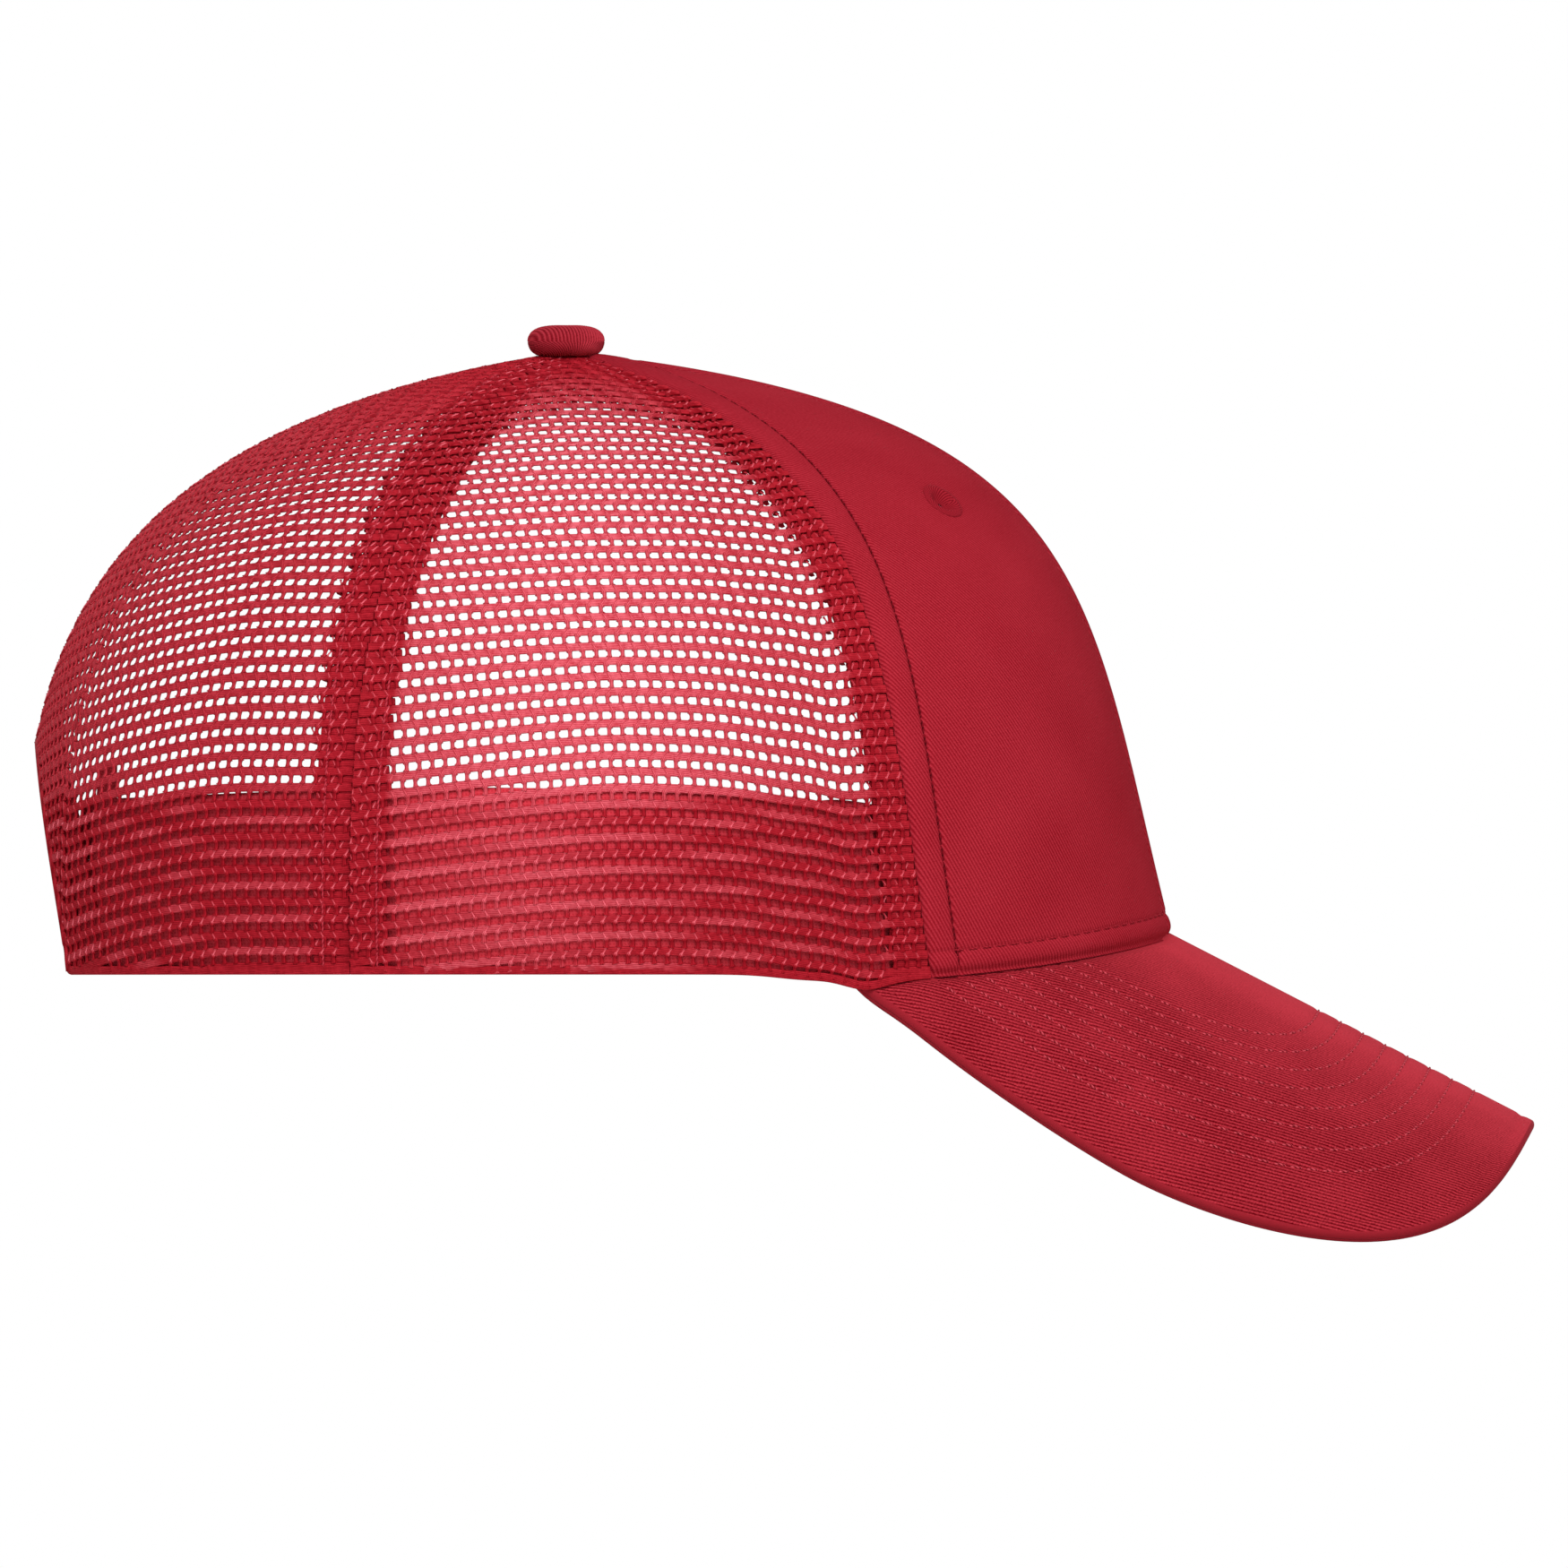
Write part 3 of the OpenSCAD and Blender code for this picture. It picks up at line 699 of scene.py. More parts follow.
def gore_bands(gore, painted_shine, slim):
    """The laid-in bands of a gore: one tube along every row, and the folded ends under the seams. The bands
    are drawn out thinner toward the top by the share slim."""
    parts = []
    for row in np.arange(ROWS) + 0.5:
        low, high, sewn_low, sewn_high, empty = gore.row_span(row)
        if empty or high - low < 1.5:
            continue
        runs = [(low, high, MESH_DEPTH, row)]
        if sewn_low:
            runs.append((low, min(low + fold_width(row), high), FOLD_DEPTH, row + 0.5))
        if sewn_high:
            runs.append((max(high - fold_width(row), low), high, FOLD_DEPTH, row + 0.5))
        for start, end, depth, at in runs:
            along = np.linspace(start, end, max(4, int((end - start) / HOLE_PITCH * 2)))
            t, v = gore.place(np.full(len(along), at), along)
            points = lay(t, v, -depth)
            z = points[:, 2]
            gap = np.minimum(along - low if sewn_low else 99.0, high - along if sewn_high else 99.0)
            # The tone is the yarn's painted light; the folded layer under a seam gets none, so it keeps its
            # painted shaded colour.
            tone = painted_yarn_light(t, z, painted_shine, gap)[0] * (depth == MESH_DEPTH)
            thin = np.clip((z - SLIM_FROM_Z) / 22, 0, 1) * np.clip((SLIM_END_Z - z) / 5, 0, 1)
            width = 1 - slim * thin
            parts.append(tubes(points[None], crown_normal(t, v)[None], BAND, width[None], tone[None]))
    return parts


def gore_pillars(gore, painted_shine):
    """The zigzag threads of a gore: from each row of holes to the next a post between two holes and a
    slanting run over the band. Under the seams the folded layer has its own."""
    rows, columns, depths, gaps = [], [], [], []
    for row in range(ROWS):
        low, high, sewn_low, sewn_high, empty = gore.row_span(row)
        if empty or gore.row_span(row + 0.75)[4]:
            continue
        low = max(low, gore.row_span(row + 0.75)[0])
        high = min(high, gore.row_span(row + 0.75)[1])
        swing = STAGGER if row % 2 else -STAGGER
        column = np.arange(np.ceil((low + 0.3) / HOLE_PITCH), np.floor((high - 0.3) / HOLE_PITCH) + 1)
        at = column * HOLE_PITCH + swing
        at = at[(at > low + 0.2) & (at < high - 0.2)]
        wide = fold_width(row)
        folded = at[((at < low + wide) & sewn_low) | ((at > high - wide) & sewn_high)]
        rows.append(np.full(len(at) + len(folded), float(row)))
        columns.append(np.concatenate([at, folded + HOLE_PITCH * 0.5]))
        gap = np.minimum(at - low if sewn_low else 99.0, high - at if sewn_high else 99.0) + 0 * at
        gaps.append(np.concatenate([gap, 0 * folded]))
        depths.append(np.concatenate([np.full(len(at), MESH_DEPTH), np.full(len(folded), FOLD_DEPTH)]))
    row = np.concatenate(rows)[:, None]
    depth = np.concatenate(depths)[:, None]
    turn = np.where(row % 2 == 1, -2 * STAGGER, 2 * STAGGER)
    along = np.concatenate(columns)[:, None] + turn * PILLAR_LEAN
    t, v = gore.place(row + PILLAR_STEPS + 0.5 * (depth > MESH_DEPTH), along)
    paths = lay(t, v, PILLAR_LIFT - depth)
    tone, opened = painted_yarn_light(t, paths[..., 2], painted_shine, np.concatenate(gaps)[:, None])
    # Painted light on the pillars: over the lining and in the double mesh the slanting runs are painted
    # light as ticks and the posts painted dark as shadow, less so in the middle of a gore.
    painted_tick_light = np.where(row % 2 == 1, 1.0, 0.55)
    painted_post_shadow = 0.8 - 0.65 * dip(np.degrees(t), 96, 16)
    tone = tone * 0.85 + (1 - opened) * (PILLAR_TICK * (painted_tick_light + painted_post_shadow) - painted_post_shadow)
    return [tubes(paths, crown_normal(t, v), PILLAR, PILLAR_WIDTH, tone)]


def yarn_finish(name, dim, bright):
    """Filament yarn: fine lines along it that wander with a noise, bright and dark by turns. The attribute
    tone
    is painted light: dim and bright are its painted shaded and painted lit colours where the tone is 0 and
    where it is 1. Below 0 it is painted darker still, as shade."""
    material, shader, wire = new_finish(name, {"Roughness": 0.6, "Specular IOR Level": 0.04})
    cloth, u, w = wire.cloth()
    tone = wire.node("Attribute", {"attribute_name": "tone"}, None, 2)
    wander = cloth.noise(1.1, 2.0)
    lines = (w * 20.9 + u * 1.3 + wander * 3.0 + 1.6).wave()
    # A tone below 0 darkens the yarn as painted shade.
    shade = lines * 0.8 + wander - 0.45 + wire.maths("MINIMUM", tone, 0.0) * 0.6
    colour = tone.between(shade.between(*dim), shade.between(*bright))
    colour.into(shader.inputs["Base Color"])
    lines.raise_surface(shader, 0.5, 0.04)
    return material


def back_place(y, z):
    """Crown angle and height of a place on the back at a given y and z, closing in by turns."""
    v = place_at_height(np.full_like(z, np.pi), z)
    for _ in range(4):
        t = np.pi - np.arcsin(y / crown(np.pi / 2, v)[..., 1])
        v = np.where(z <= 0, 0, place_at_height(t, z))
    return t, v


def arch_line(margin, depth, count=120):
    """Path and normals along the left half of the arch, at a margin outside its edge."""
    turn = np.linspace(np.pi / 2, 0.004, count)
    t, v = back_place((ARCH_HALF_WIDTH + margin) * np.sin(turn), (ARCH_HEIGHT + margin) * np.cos(turn))
    return lay(t, v, -depth), crown_normal(t, v)


def fold_tube(path, normals, scale=(1.0, 1.0)):
    """One yarn band along a folded edge."""
    return tubes(path[None], normals[None], BAND * scale, 1.0, 0.0)


# The dim colours are the yarn painted in shade, the bright ones the yarn painted in a highlight.
mesh_yarn = yarn_finish("mesh yarn", (paint(138, 10, 24), paint(196, 40, 54)),
                        (paint(190, 36, 54), paint(250, 124, 138)))
side_gore = MeshGore(FRONT_SEAM + SEAM_GAP, SIDE_SEAM - SEAM_GAP, np.radians(SIDE_LEVEL), side_fall)
back_gore = MeshGore(SIDE_SEAM + SEAM_GAP, np.pi - SEAM_GAP, np.radians(BACK_LEVEL), back_fall)
side_extra = [fold_tube(*hem_line(FRONT_SEAM + SEAM_GAP, SIDE_SEAM - SEAM_GAP, 0.6, -MESH_DEPTH))]
back_extra = [fold_tube(*hem_line(SIDE_SEAM + SEAM_GAP, ARCH_FOOT - 0.002, 0.6, -MESH_DEPTH))]
back_extra += [fold_tube(*arch_line(0.55, MESH_DEPTH), (1.0, 1.3))]
back_extra += [fold_tube(*arch_line(margin, FOLD_DEPTH)) for margin in (1.6, 2.9, 4.2, 5.5)]
# Each gore's shine is painted light: at its sides, added in its middle, and over the lining; the back gore
# is painted darker.
for panel, gore, extra, painted_shine, slim in (("side", side_gore, side_extra, (0.3, 0.6, 0.42), 0.22),
                                        ("back", back_gore, back_extra, (0.15, 0.3, 0.15), 0.1)):
    bands = merged(gore_bands(gore, painted_shine, slim) + extra)
    pillars = merged(gore_pillars(gore, painted_shine))
    for side, turned in (("left", lambda part: part), ("right", mirrored)):
        make_piece(f"{panel}_bands_{side}", turned(bands), mesh_yarn,
                   replaces=[f"{panel}_mesh_{side}"])
        make_piece(f"{panel}_pillars_{side}", turned(pillars), mesh_yarn)


# Seam tapes
# Red twill tapes sewn over the seams inside the crown and round the back arch, each held by a row
# of stitches near both edges.
TAPE_W = 12.0
TAPE_T = 0.5
FRONT_TAPE_DEPTH = 1.8
BACK_TAPE_DEPTH = 1.1
TAPE_STITCH_IN = 1.2
SEAM_STITCH_IN = 0.8
LOWEST_STITCH = 0.004
tape_twill = twill_finish("tape twill", paint(196, 40, 54), paint(226, 66, 80), 40, 0.8, 0.1)


def tape(seam, depth, low):
    """A tape along a seam: seven places across, its edges rounded off."""
    k = np.linspace(-1, 1, 7)[:, None]
    v = np.linspace(low, TAPE_TOP, 120)[None]
    t = beside_seam(seam, k * TAPE_W / 2, v)
    v = np.broadcast_to(v, t.shape)
    edge = 0.5 * TAPE_T * np.clip(np.abs(k) * 6 - 5, 0, 1) ** 2 + 0 * t
    return shell(lay(t, v, -depth - 0.8 * edge), lay(t, v, -depth - TAPE_T + 0.8 * edge))


def tape_stitches(seam, depth, low):
    """Two rows of stitches on the inside of a tape."""
    rows = []
    for distance in (-TAPE_W / 2 + TAPE_STITCH_IN, TAPE_W / 2 - TAPE_STITCH_IN):
        path, normals = seam_line(seam, distance, low, TAPE_TOP - 0.01, -depth - TAPE_T)
        rows.append(stitches(path, -normals))
    return rows


sewing_thread = thread_finish("red thread", paint(150, 26, 40), paint(196, 62, 76))
arch_turn = np.linspace(np.pi / 2, -np.pi / 2, 121)[:, None]
arch_margin = np.array([0.5, 0.9, 3, 6, 9, 11.6, 12.0])[None]
tape_low = back_place(np.array([0.01]), np.array([ARCH_HEIGHT + TAPE_W + 1.5]))[1][0]
tape_rows = []
for name, seam, depth, low in (("front_seam_{}_left", FRONT_SEAM, FRONT_TAPE_DEPTH, 0.0),
                               ("front_seam_{}_right", -FRONT_SEAM, FRONT_TAPE_DEPTH, 0.0),
                               ("side_seam_{}_left", SIDE_SEAM, BACK_TAPE_DEPTH, 0.0),
                               ("side_seam_{}_right", -SIDE_SEAM, BACK_TAPE_DEPTH, 0.0),
                               ("front_centre_{}", 0.0, FRONT_TAPE_DEPTH, 0.0),
                               ("back_centre_{}", np.pi, BACK_TAPE_DEPTH, tape_low)):
    make_piece(name.format("twill"), tape(seam, depth, low), tape_twill,
               replaces=[name.format("tape")])
    tape_rows += tape_stitches(seam, depth, max(low, LOWEST_STITCH))
arch_y = (ARCH_HALF_WIDTH + arch_margin) * np.sin(arch_turn)
arch_z = (ARCH_HEIGHT + arch_margin) * np.cos(arch_turn)
arch_t, arch_v = back_place(np.abs(arch_y), np.maximum(arch_z, 0))
arch_t = np.where(arch_y < 0, 2 * np.pi - arch_t, arch_t)
arch_tape = shell(lay(arch_t, arch_v, -BACK_TAPE_DEPTH), lay(arch_t, arch_v, -BACK_TAPE_DEPTH - TAPE_T))
make_piece("back_arch_twill", arch_tape, tape_twill, replaces=["back_arch_tape"])
for margin in (1.6, TAPE_W - TAPE_STITCH_IN):
    path, normals = arch_line(margin, BACK_TAPE_DEPTH + TAPE_T)
    row = stitches(path, -normals)
    tape_rows += [row, mirrored(row)]
make_piece("tape_stitching", merged(tape_rows), sewing_thread)
outer_rows = []
for distance in (-TAPE_W / 2 + SEAM_STITCH_IN, TAPE_W / 2 - SEAM_STITCH_IN):
    row = stitches(*seam_line(SIDE_SEAM, distance, 0.006, 0.93, -0.1))
    outer_rows += [row, mirrored(row)]
make_piece("side_seam_stitching", merged(outer_rows), sewing_thread)


# Sweatband
# A folded strip of red twill round the inside of the lower edge, with a strip of red interlining behind
# it that shows through the mesh. Its lower edge is turned out to the crown's edge and sewn there, and a
# row of stitches runs along both edges.
BAND_DEPTH = 3.4
BAND_T = 0.8
BAND_H = 32.0
BAND_END = np.radians(153.5)
BAND_ROUND = 0.38
BAND_PUFF = 0.12
BAND_DENT = 0.15
BAND_RISE = 2.2
FLAP_FROM = 142.3
LINING_DEPTH = 0.86
LINING_FRONT_DEPTH = 2.6
LINING_SEAM_DEPTH = 1.7
LINING_T = 0.2
LINING_END = np.radians(147)
LINING_FLAP = 7.0
LINING_EASE = 1.1
SEAM_HALF = 7.4
FOLD_LOW = 0.001
FOLD_HIGH = 0.005


def band_grid(end, height, columns, rows, flap=0.0):
    """Angles and heights of a strip along the lower edge: a little higher at the sides, and with a flap
    that stands up at both ends."""
    t = np.linspace(-end, end, columns)
    rise = height + BAND_RISE * dip(np.abs(t), 1.75, 0.5)
    rise = rise + flap * ease((np.degrees(np.abs(t)) - FLAP_FROM) * 1.1)
    high = place_at_height(t, rim(t)[:, 2] + rim_drop(t) + rise)
    return np.broadcast_to(t[:, None], (columns, rows)), high[:, None] * np.linspace(0, 1, rows)


lining_t, lining_v = band_grid(LINING_END, BAND_H + 0.6, 620, 26, LINING_FLAP)
lining_angle = np.abs(lining_t)
lining_rise = 30 * lining_v / lining_v[:, -1:]
seam_near = ease((SEAM_HALF - np.abs(lining_angle - SIDE_SEAM) * 90) / LINING_EASE)
seam_near = np.maximum(seam_near, ease((lining_angle - np.radians(142.6)) * 95 / LINING_EASE))
front_near = ease((SEAM_HALF - (lining_angle - FRONT_SEAM) * 100) / LINING_EASE)
wave_shift = 2.2 * np.sin(lining_t * 4.0) + 0.6 * np.sin(lining_t * 11.0)
lining_wave = 0.16 * np.sin(lining_rise * 0.85 + wave_shift)
lining_near = dip(np.degrees(lining_angle), 92, 22)
lining_depth = LINING_DEPTH + (0.7 + lining_wave) * (1 - lining_near)
lining_depth += (LINING_SEAM_DEPTH - lining_depth) * seam_near
lining_depth += (LINING_FRONT_DEPTH - lining_depth) * front_near
lining = shell(lay(lining_t, lining_v, -lining_depth), lay(lining_t, lining_v, -lining_depth - LINING_T))
lining_weave = weave_finish("interlining weave", paint(200, 44, 58), paint(226, 70, 84), 0.7, 0.08)
make_piece("interlining", lining, lining_weave, replaces=["sweatband_lining"])
band_t, band_v = band_grid(BAND_END, BAND_H, 320, 40)
band_share = band_v / band_v[:, -1:]
band_round = BAND_ROUND * np.clip(band_share * 22 - 21, 0, 1) ** 2
band_puff = BAND_PUFF * dip(band_share, 0.5, 0.3) - BAND_DENT * dip(band_share, 0.93, 0.02)
band_sheet = shell(lay(band_t, band_v, -BAND_DEPTH - band_round),
                   lay(band_t, band_v, -BAND_DEPTH - BAND_T + band_round - band_puff))
band_twill = twill_finish("sweatband twill", paint(146, 22, 36), paint(182, 44, 58), 45, 0.8, 0.1)
make_piece("sweatband_twill", band_sheet, band_twill, replaces=["sweatband"])
fold_t, fold_depth = np.meshgrid(np.linspace(BILL_CORNER - 0.09, BAND_END, 270), np.linspace(0.8, 3.5, 6),
                                 indexing="ij")
fold_low = lay(fold_t, FOLD_LOW, -fold_depth)
fold_uv = np.stack([run_length(fold_low, 0), fold_depth], -1)
fold_left = shell(lay(fold_t, FOLD_HIGH, -fold_depth), fold_low, fold_uv)
make_piece("sweatband_fold", merged([fold_left, mirrored(fold_left)]), band_twill)
band_rows = []
for rise in (1.6, BAND_H - 2.2):
    path, normals = hem_line(-BAND_END + 0.01, BAND_END - 0.01, rise, -BAND_DEPTH - BAND_T, 900)
    band_rows.append(stitches(path, -normals))
make_piece("sweatband_stitching", merged(band_rows), sewing_thread)


# Bill
# A stiff board between two covers of red twill, bent to a curve and sewn under the front. The covers
# are turned in at the edge, and eight rows of stitches run parallel to it and quilt them to the board.
COVER_T = 0.7
BILL_T = 3.5
BILL_REAR_DEPTH = 4.2
BILL_REACH = 76.5
BILL_HALF_ARC = 93.3
BILL_SHOULDER = 15.4
BILL_REAR = -51.5
BILL_ROLL = 1.0
ROOT_WIDTH = 9.0
ROOT_CREASE = 0.8
ROOT_FADE = 7.0
CREASE_FADE = 0.16
CROWN_MEAN_R = 95.0
BOARD_INSET = 2.5
BILL_TOP_SINK = 0.35
BILL_ROWS = 8
BILL_ROW_FIRST = 13.0
BILL_ROW_STEP = 4.65
BILL_EDGE_GROOVE = 3.2
BILL_STITCH = 2.3
BILL_STITCH_GAP = 0.9
BILL_THREAD_R = 0.23
GROOVE_DEPTH = 0.24
GROOVE_WIDTH = 0.65
TOP_STITCH_DEPTH = 0.55
UNDER_STITCH_DEPTH = BILL_T - 0.2
BOARD_GAP = 0.1
EDGE_GAP = 0.06
LIP_IN = np.array([0.8, 1.0])
TURN_IN = 1.6
CORNER_FORWARD = 1.9


def bill_half(inset, count):
    """Half of the bill's flat outline drawn in by an inset, from the middle of the front to the rear
    corner: a quarter of a squared circle, then a cubic curve. Columns are the distance along the ridge and
    that across it along the bend."""
    side, front = BILL_HALF_ARC - inset, BILL_REACH - inset
    shoulder = BILL_SHOULDER - 0.3 * inset
    k = np.linspace(0, 1, count)
    a = k * np.pi / 2
    front_curve = np.stack([shoulder + (front - shoulder) * np.abs(np.cos(a)) ** 1.12,
                            side * np.sin(a) ** 0.37], -1)
    side_curve = bezier((shoulder, side), (shoulder - 14.1, side), (-40.0, side - 5.6),
                        (BILL_REAR, side - 14.5), k[1:])
    return np.concatenate([front_curve, side_curve])


side_line = bill_half(0, 200)[:199:-1]


def root_crease(flat, place):
    """Extra depth of the bill beside the crown: it sags along the crown's edge and has a narrow crease
    under the hem, except on the ridge. Both fade out toward the bill's own edge. Its rear corners are drawn
    down with the crown's edge."""
    x = (place[..., 0] - RIM_CENTRE) / (RIM_FRONT - RIM_CENTRE)
    y = place[..., 1] / RIM_HALF_WIDTH
    gap = (np.hypot(x, y) - 1) * CROWN_MEAN_R
    t = np.arctan2(np.abs(y), x)
    from_side = np.interp(flat[..., 0], side_line[:, 0], side_line[:, 1]) - np.abs(flat[..., 1])
    near = 1 - ease(gap / ROOT_WIDTH)
    crease = ROOT_CREASE * ease(t / CREASE_FADE) * dip(gap, 0.4, 0.9)
    return (bill_sag(t) * near + crease) * ease(from_side / ROOT_FADE) + 0.85 * rim_drop(t) * near


def bill_place(flat, depth):
    """Place of a flat point of the bill at a depth under its top, wound on the cylinder round the ridge and
    drawn down at its root."""
    ahead = np.array([np.cos(BILL_SLOPE), 0, -np.sin(BILL_SLOPE)])
    over = np.array([np.sin(BILL_SLOPE), 0, np.cos(BILL_SLOPE)])
    turn = flat[..., 1] / BILL_RADIUS
    radial = np.cos(turn)[..., None] * over + np.sin(turn)[..., None] * np.array([0, 1.0, 0])
    surface = BILL_ROOT + flat[..., :1] * ahead + BILL_RADIUS * (radial - over)
    return surface - (depth + root_crease(flat, surface))[..., None] * radial


def evenly(path, count):
    """A path's points spaced out evenly."""
    run = run_length(path[None], 1)[0]
    at = np.linspace(0, run[-1], count)
    return np.stack([np.interp(at, run, path[:, i]) for i in range(path.shape[1])], -1)


def nearest(points, path):
    """Distance of each point from a path of close points."""
    gaps = [np.linalg.norm(points[i:i + 4000, None] - path[None], axis=-1).min(1)
            for i in range(0, len(points), 4000)]
    return np.concatenate(gaps)


def both_sides(half):
    """A whole outline from its left half: from the left rear corner round the front to the right."""
    return np.concatenate([half[::-1], half[1:] * [1, -1]])


bill_columns = 230
bill_edge = evenly(both_sides(bill_half(0, 200)), bill_columns)
edge_way = unit(np.gradient(bill_edge, axis=0))
edge_in = np.stack([-edge_way[:, 1], edge_way[:, 0]], -1)
edge_in *= np.sign(np.sum(edge_in * -bill_edge, -1, keepdims=True))
rear_t = np.linspace(BILL_CORNER, -BILL_CORNER, bill_columns)
rear_depth = BILL_REAR_DEPTH - CORNER_FORWARD * ease((np.abs(rear_t) - 0.8) / 0.28)
rear_plan = oval(rear_t, RIM_FRONT - rear_depth, RIM_BACK, RIM_CENTRE, RIM_HALF_WIDTH - rear_depth,
                 (0, 0, 0))
rear_z = bill_top(rear_plan[:, 0], rear_plan[:, 1])
bill_rear = np.stack([(rear_plan[:, 0] - BILL_ROOT[0]) * np.cos(BILL_SLOPE)
                      - (rear_z - BILL_ROOT[2]) * np.sin(BILL_SLOPE),
                      BILL_RADIUS * np.arcsin(rear_plan[:, 1] / BILL_RADIUS)], -1)
stitch_rows = [evenly(both_sides(bill_half(BILL_ROW_FIRST + i * BILL_ROW_STEP, 200)), 500)
               for i in range(BILL_ROWS)]
edge_row = evenly(both_sides(bill_half(BILL_EDGE_GROOVE, 200)), 700)
rear_share = np.concatenate([np.linspace(1, 0.91, 34), np.linspace(0.904, 0, 136)])[None, :, None]
bill_outside = (bill_edge + BILL_ROLL * edge_in)[:, None] * (1 - rear_share)
bill_outside = bill_outside + bill_rear[:, None] * rear_share
bill_grooves = np.zeros(bill_outside.shape[0] * bill_outside.shape[1])
for row in stitch_rows + [edge_row]:
    bill_grooves += GROOVE_DEPTH * dip(nearest(bill_outside.reshape(-1, 2), row), 0, GROOVE_WIDTH)
bill_grooves = bill_grooves.reshape(bill_outside.shape[:2])


def bill_cover(top):
    """One cover as a closed loop of rows: from the rear over the outside to the edge, round the edge, and
    back along the inside. The outside dips at each row of stitches. The uv's third part is 1 off it."""
    level = BILL_TOP_SINK if top else 0.0
    sink = level + bill_grooves
    a = np.linspace(0, np.pi / 2, 8)[1:]
    middle = BILL_T / 2 - EDGE_GAP
    roll = bill_edge[:, None] + (BILL_ROLL * (1 - np.sin(a)))[None, :, None] * edge_in[:, None]
    roll_depth = np.broadcast_to(level + (middle - level) * (1 - np.cos(a)), roll.shape[:2])
    back_k = np.concatenate([np.linspace(0, 0.8, 7), np.linspace(0.84, 1, 20)])[None, :, None]
    lip = bill_edge[:, None] + LIP_IN[None, :, None] * edge_in[:, None]
    lip_depth = np.broadcast_to(np.array([middle, COVER_T + 0.05]), lip.shape[:2])
    inside = (bill_edge + TURN_IN * edge_in)[:, None] * (1 - back_k) + bill_rear[:, None] * back_k
    inside_depth = np.full(inside.shape[:2], COVER_T)
    flat = np.concatenate([bill_outside, roll, lip, inside], 1)
    depth = np.concatenate([sink, roll_depth, lip_depth, inside_depth], 1)
    points = bill_place(flat, depth if top else BILL_T - depth)
    columns, rows = flat.shape[:2]
    faces = grid_faces(columns, rows, round_rows=True)
    caps = np.stack([np.arange(rows)[::-1], (columns - 1) * rows + np.arange(rows)])
    if not top:
        faces, caps = faces[:, ::-1], caps[:, ::-1]
    plain = np.broadcast_to(np.arange(rows) >= bill_outside.shape[1], (columns, rows))
    uv = np.concatenate([flat, plain[..., None]], -1)
    return points.reshape(-1, 3), [faces, caps], uv.reshape(-1, 3)


def ahead_of_crown(points):
    """Which stitches lie on the bill ahead of the crown's wall, with a little room before it."""
    x = (points[:, 0] - RIM_CENTRE) / (RIM_FRONT - RIM_CENTRE + 0.7)
    return np.hypot(x, points[:, 1] / (RIM_HALF_WIDTH + 0.6)) > 1


def bill_stitches(flat, depth, way):
    """A row of stitches along a flat path of the bill, on its top or its underside."""
    path = bill_place(flat, depth)
    above = bill_place(flat, depth - way)
    return stitches(path, unit(above - path), BILL_STITCH, BILL_STITCH_GAP, BILL_THREAD_R, ahead_of_crown)


bill_sheen = {"Sheen Weight": 0.08, "Sheen Roughness": 0.3, "Sheen Tint": paint(255, 150, 160)}
# crest 64: the bill's ridge gets a painted highlight that fades out 64 mm to each side.
bill_twill = twill_finish("bill twill", paint(98, 0, 10), paint(202, 56, 70), 106, 0.79, 0.07, 1.1, 64.0,
                          bill_sheen)
make_piece("bill_top_twill", bill_cover(True), bill_twill, replaces=["bill_top_cover"])
make_piece("bill_under_twill", bill_cover(False), bill_twill, replaces=["bill_under_cover"])
quilting = []
for row in stitch_rows:
    quilting += [bill_stitches(row, TOP_STITCH_DEPTH, 1), bill_stitches(row, UNDER_STITCH_DEPTH, -1)]
bill_thread = thread_finish("bill thread", paint(118, 8, 22), paint(216, 82, 95))
make_piece("bill_quilting", merged(quilting), bill_thread)
board_finish = weave_finish("moulded board", paint(206, 202, 190), paint(230, 226, 216), 4.0, 0.05)
board_k = np.concatenate([np.linspace(0, 0.14, 18), np.linspace(0.2, 1, 8)])[None, :, None]
board_rear = bill_rear + [BOARD_INSET, 0.0]
board_flat = board_rear[:, None] * (1 - board_k) + (bill_edge + BOARD_INSET * edge_in)[:, None] * board_k
board_top = bill_place(board_flat, COVER_T + BOARD_GAP)
board_under = bill_place(board_flat, BILL_T - COVER_T - BOARD_GAP)
make_piece("bill_stiffener", shell(board_top, board_under, board_flat), board_finish,
           replaces=["bill_board"])


# Button
# A stamped metal button on top where the six panels meet. Twill is drawn over it and gathered
# underneath, so the ribs of the cloth run down its side. A prong holds it from inside.
BUTTON_R = 7.1
BUTTON_RIB_PITCH = 0.62
BUTTON_RIB = 0.12
BUTTON_WAIST_Z = 1.85
BUTTON_FOOT_H = 3.1
BUTTON_DOME_H = 3.0


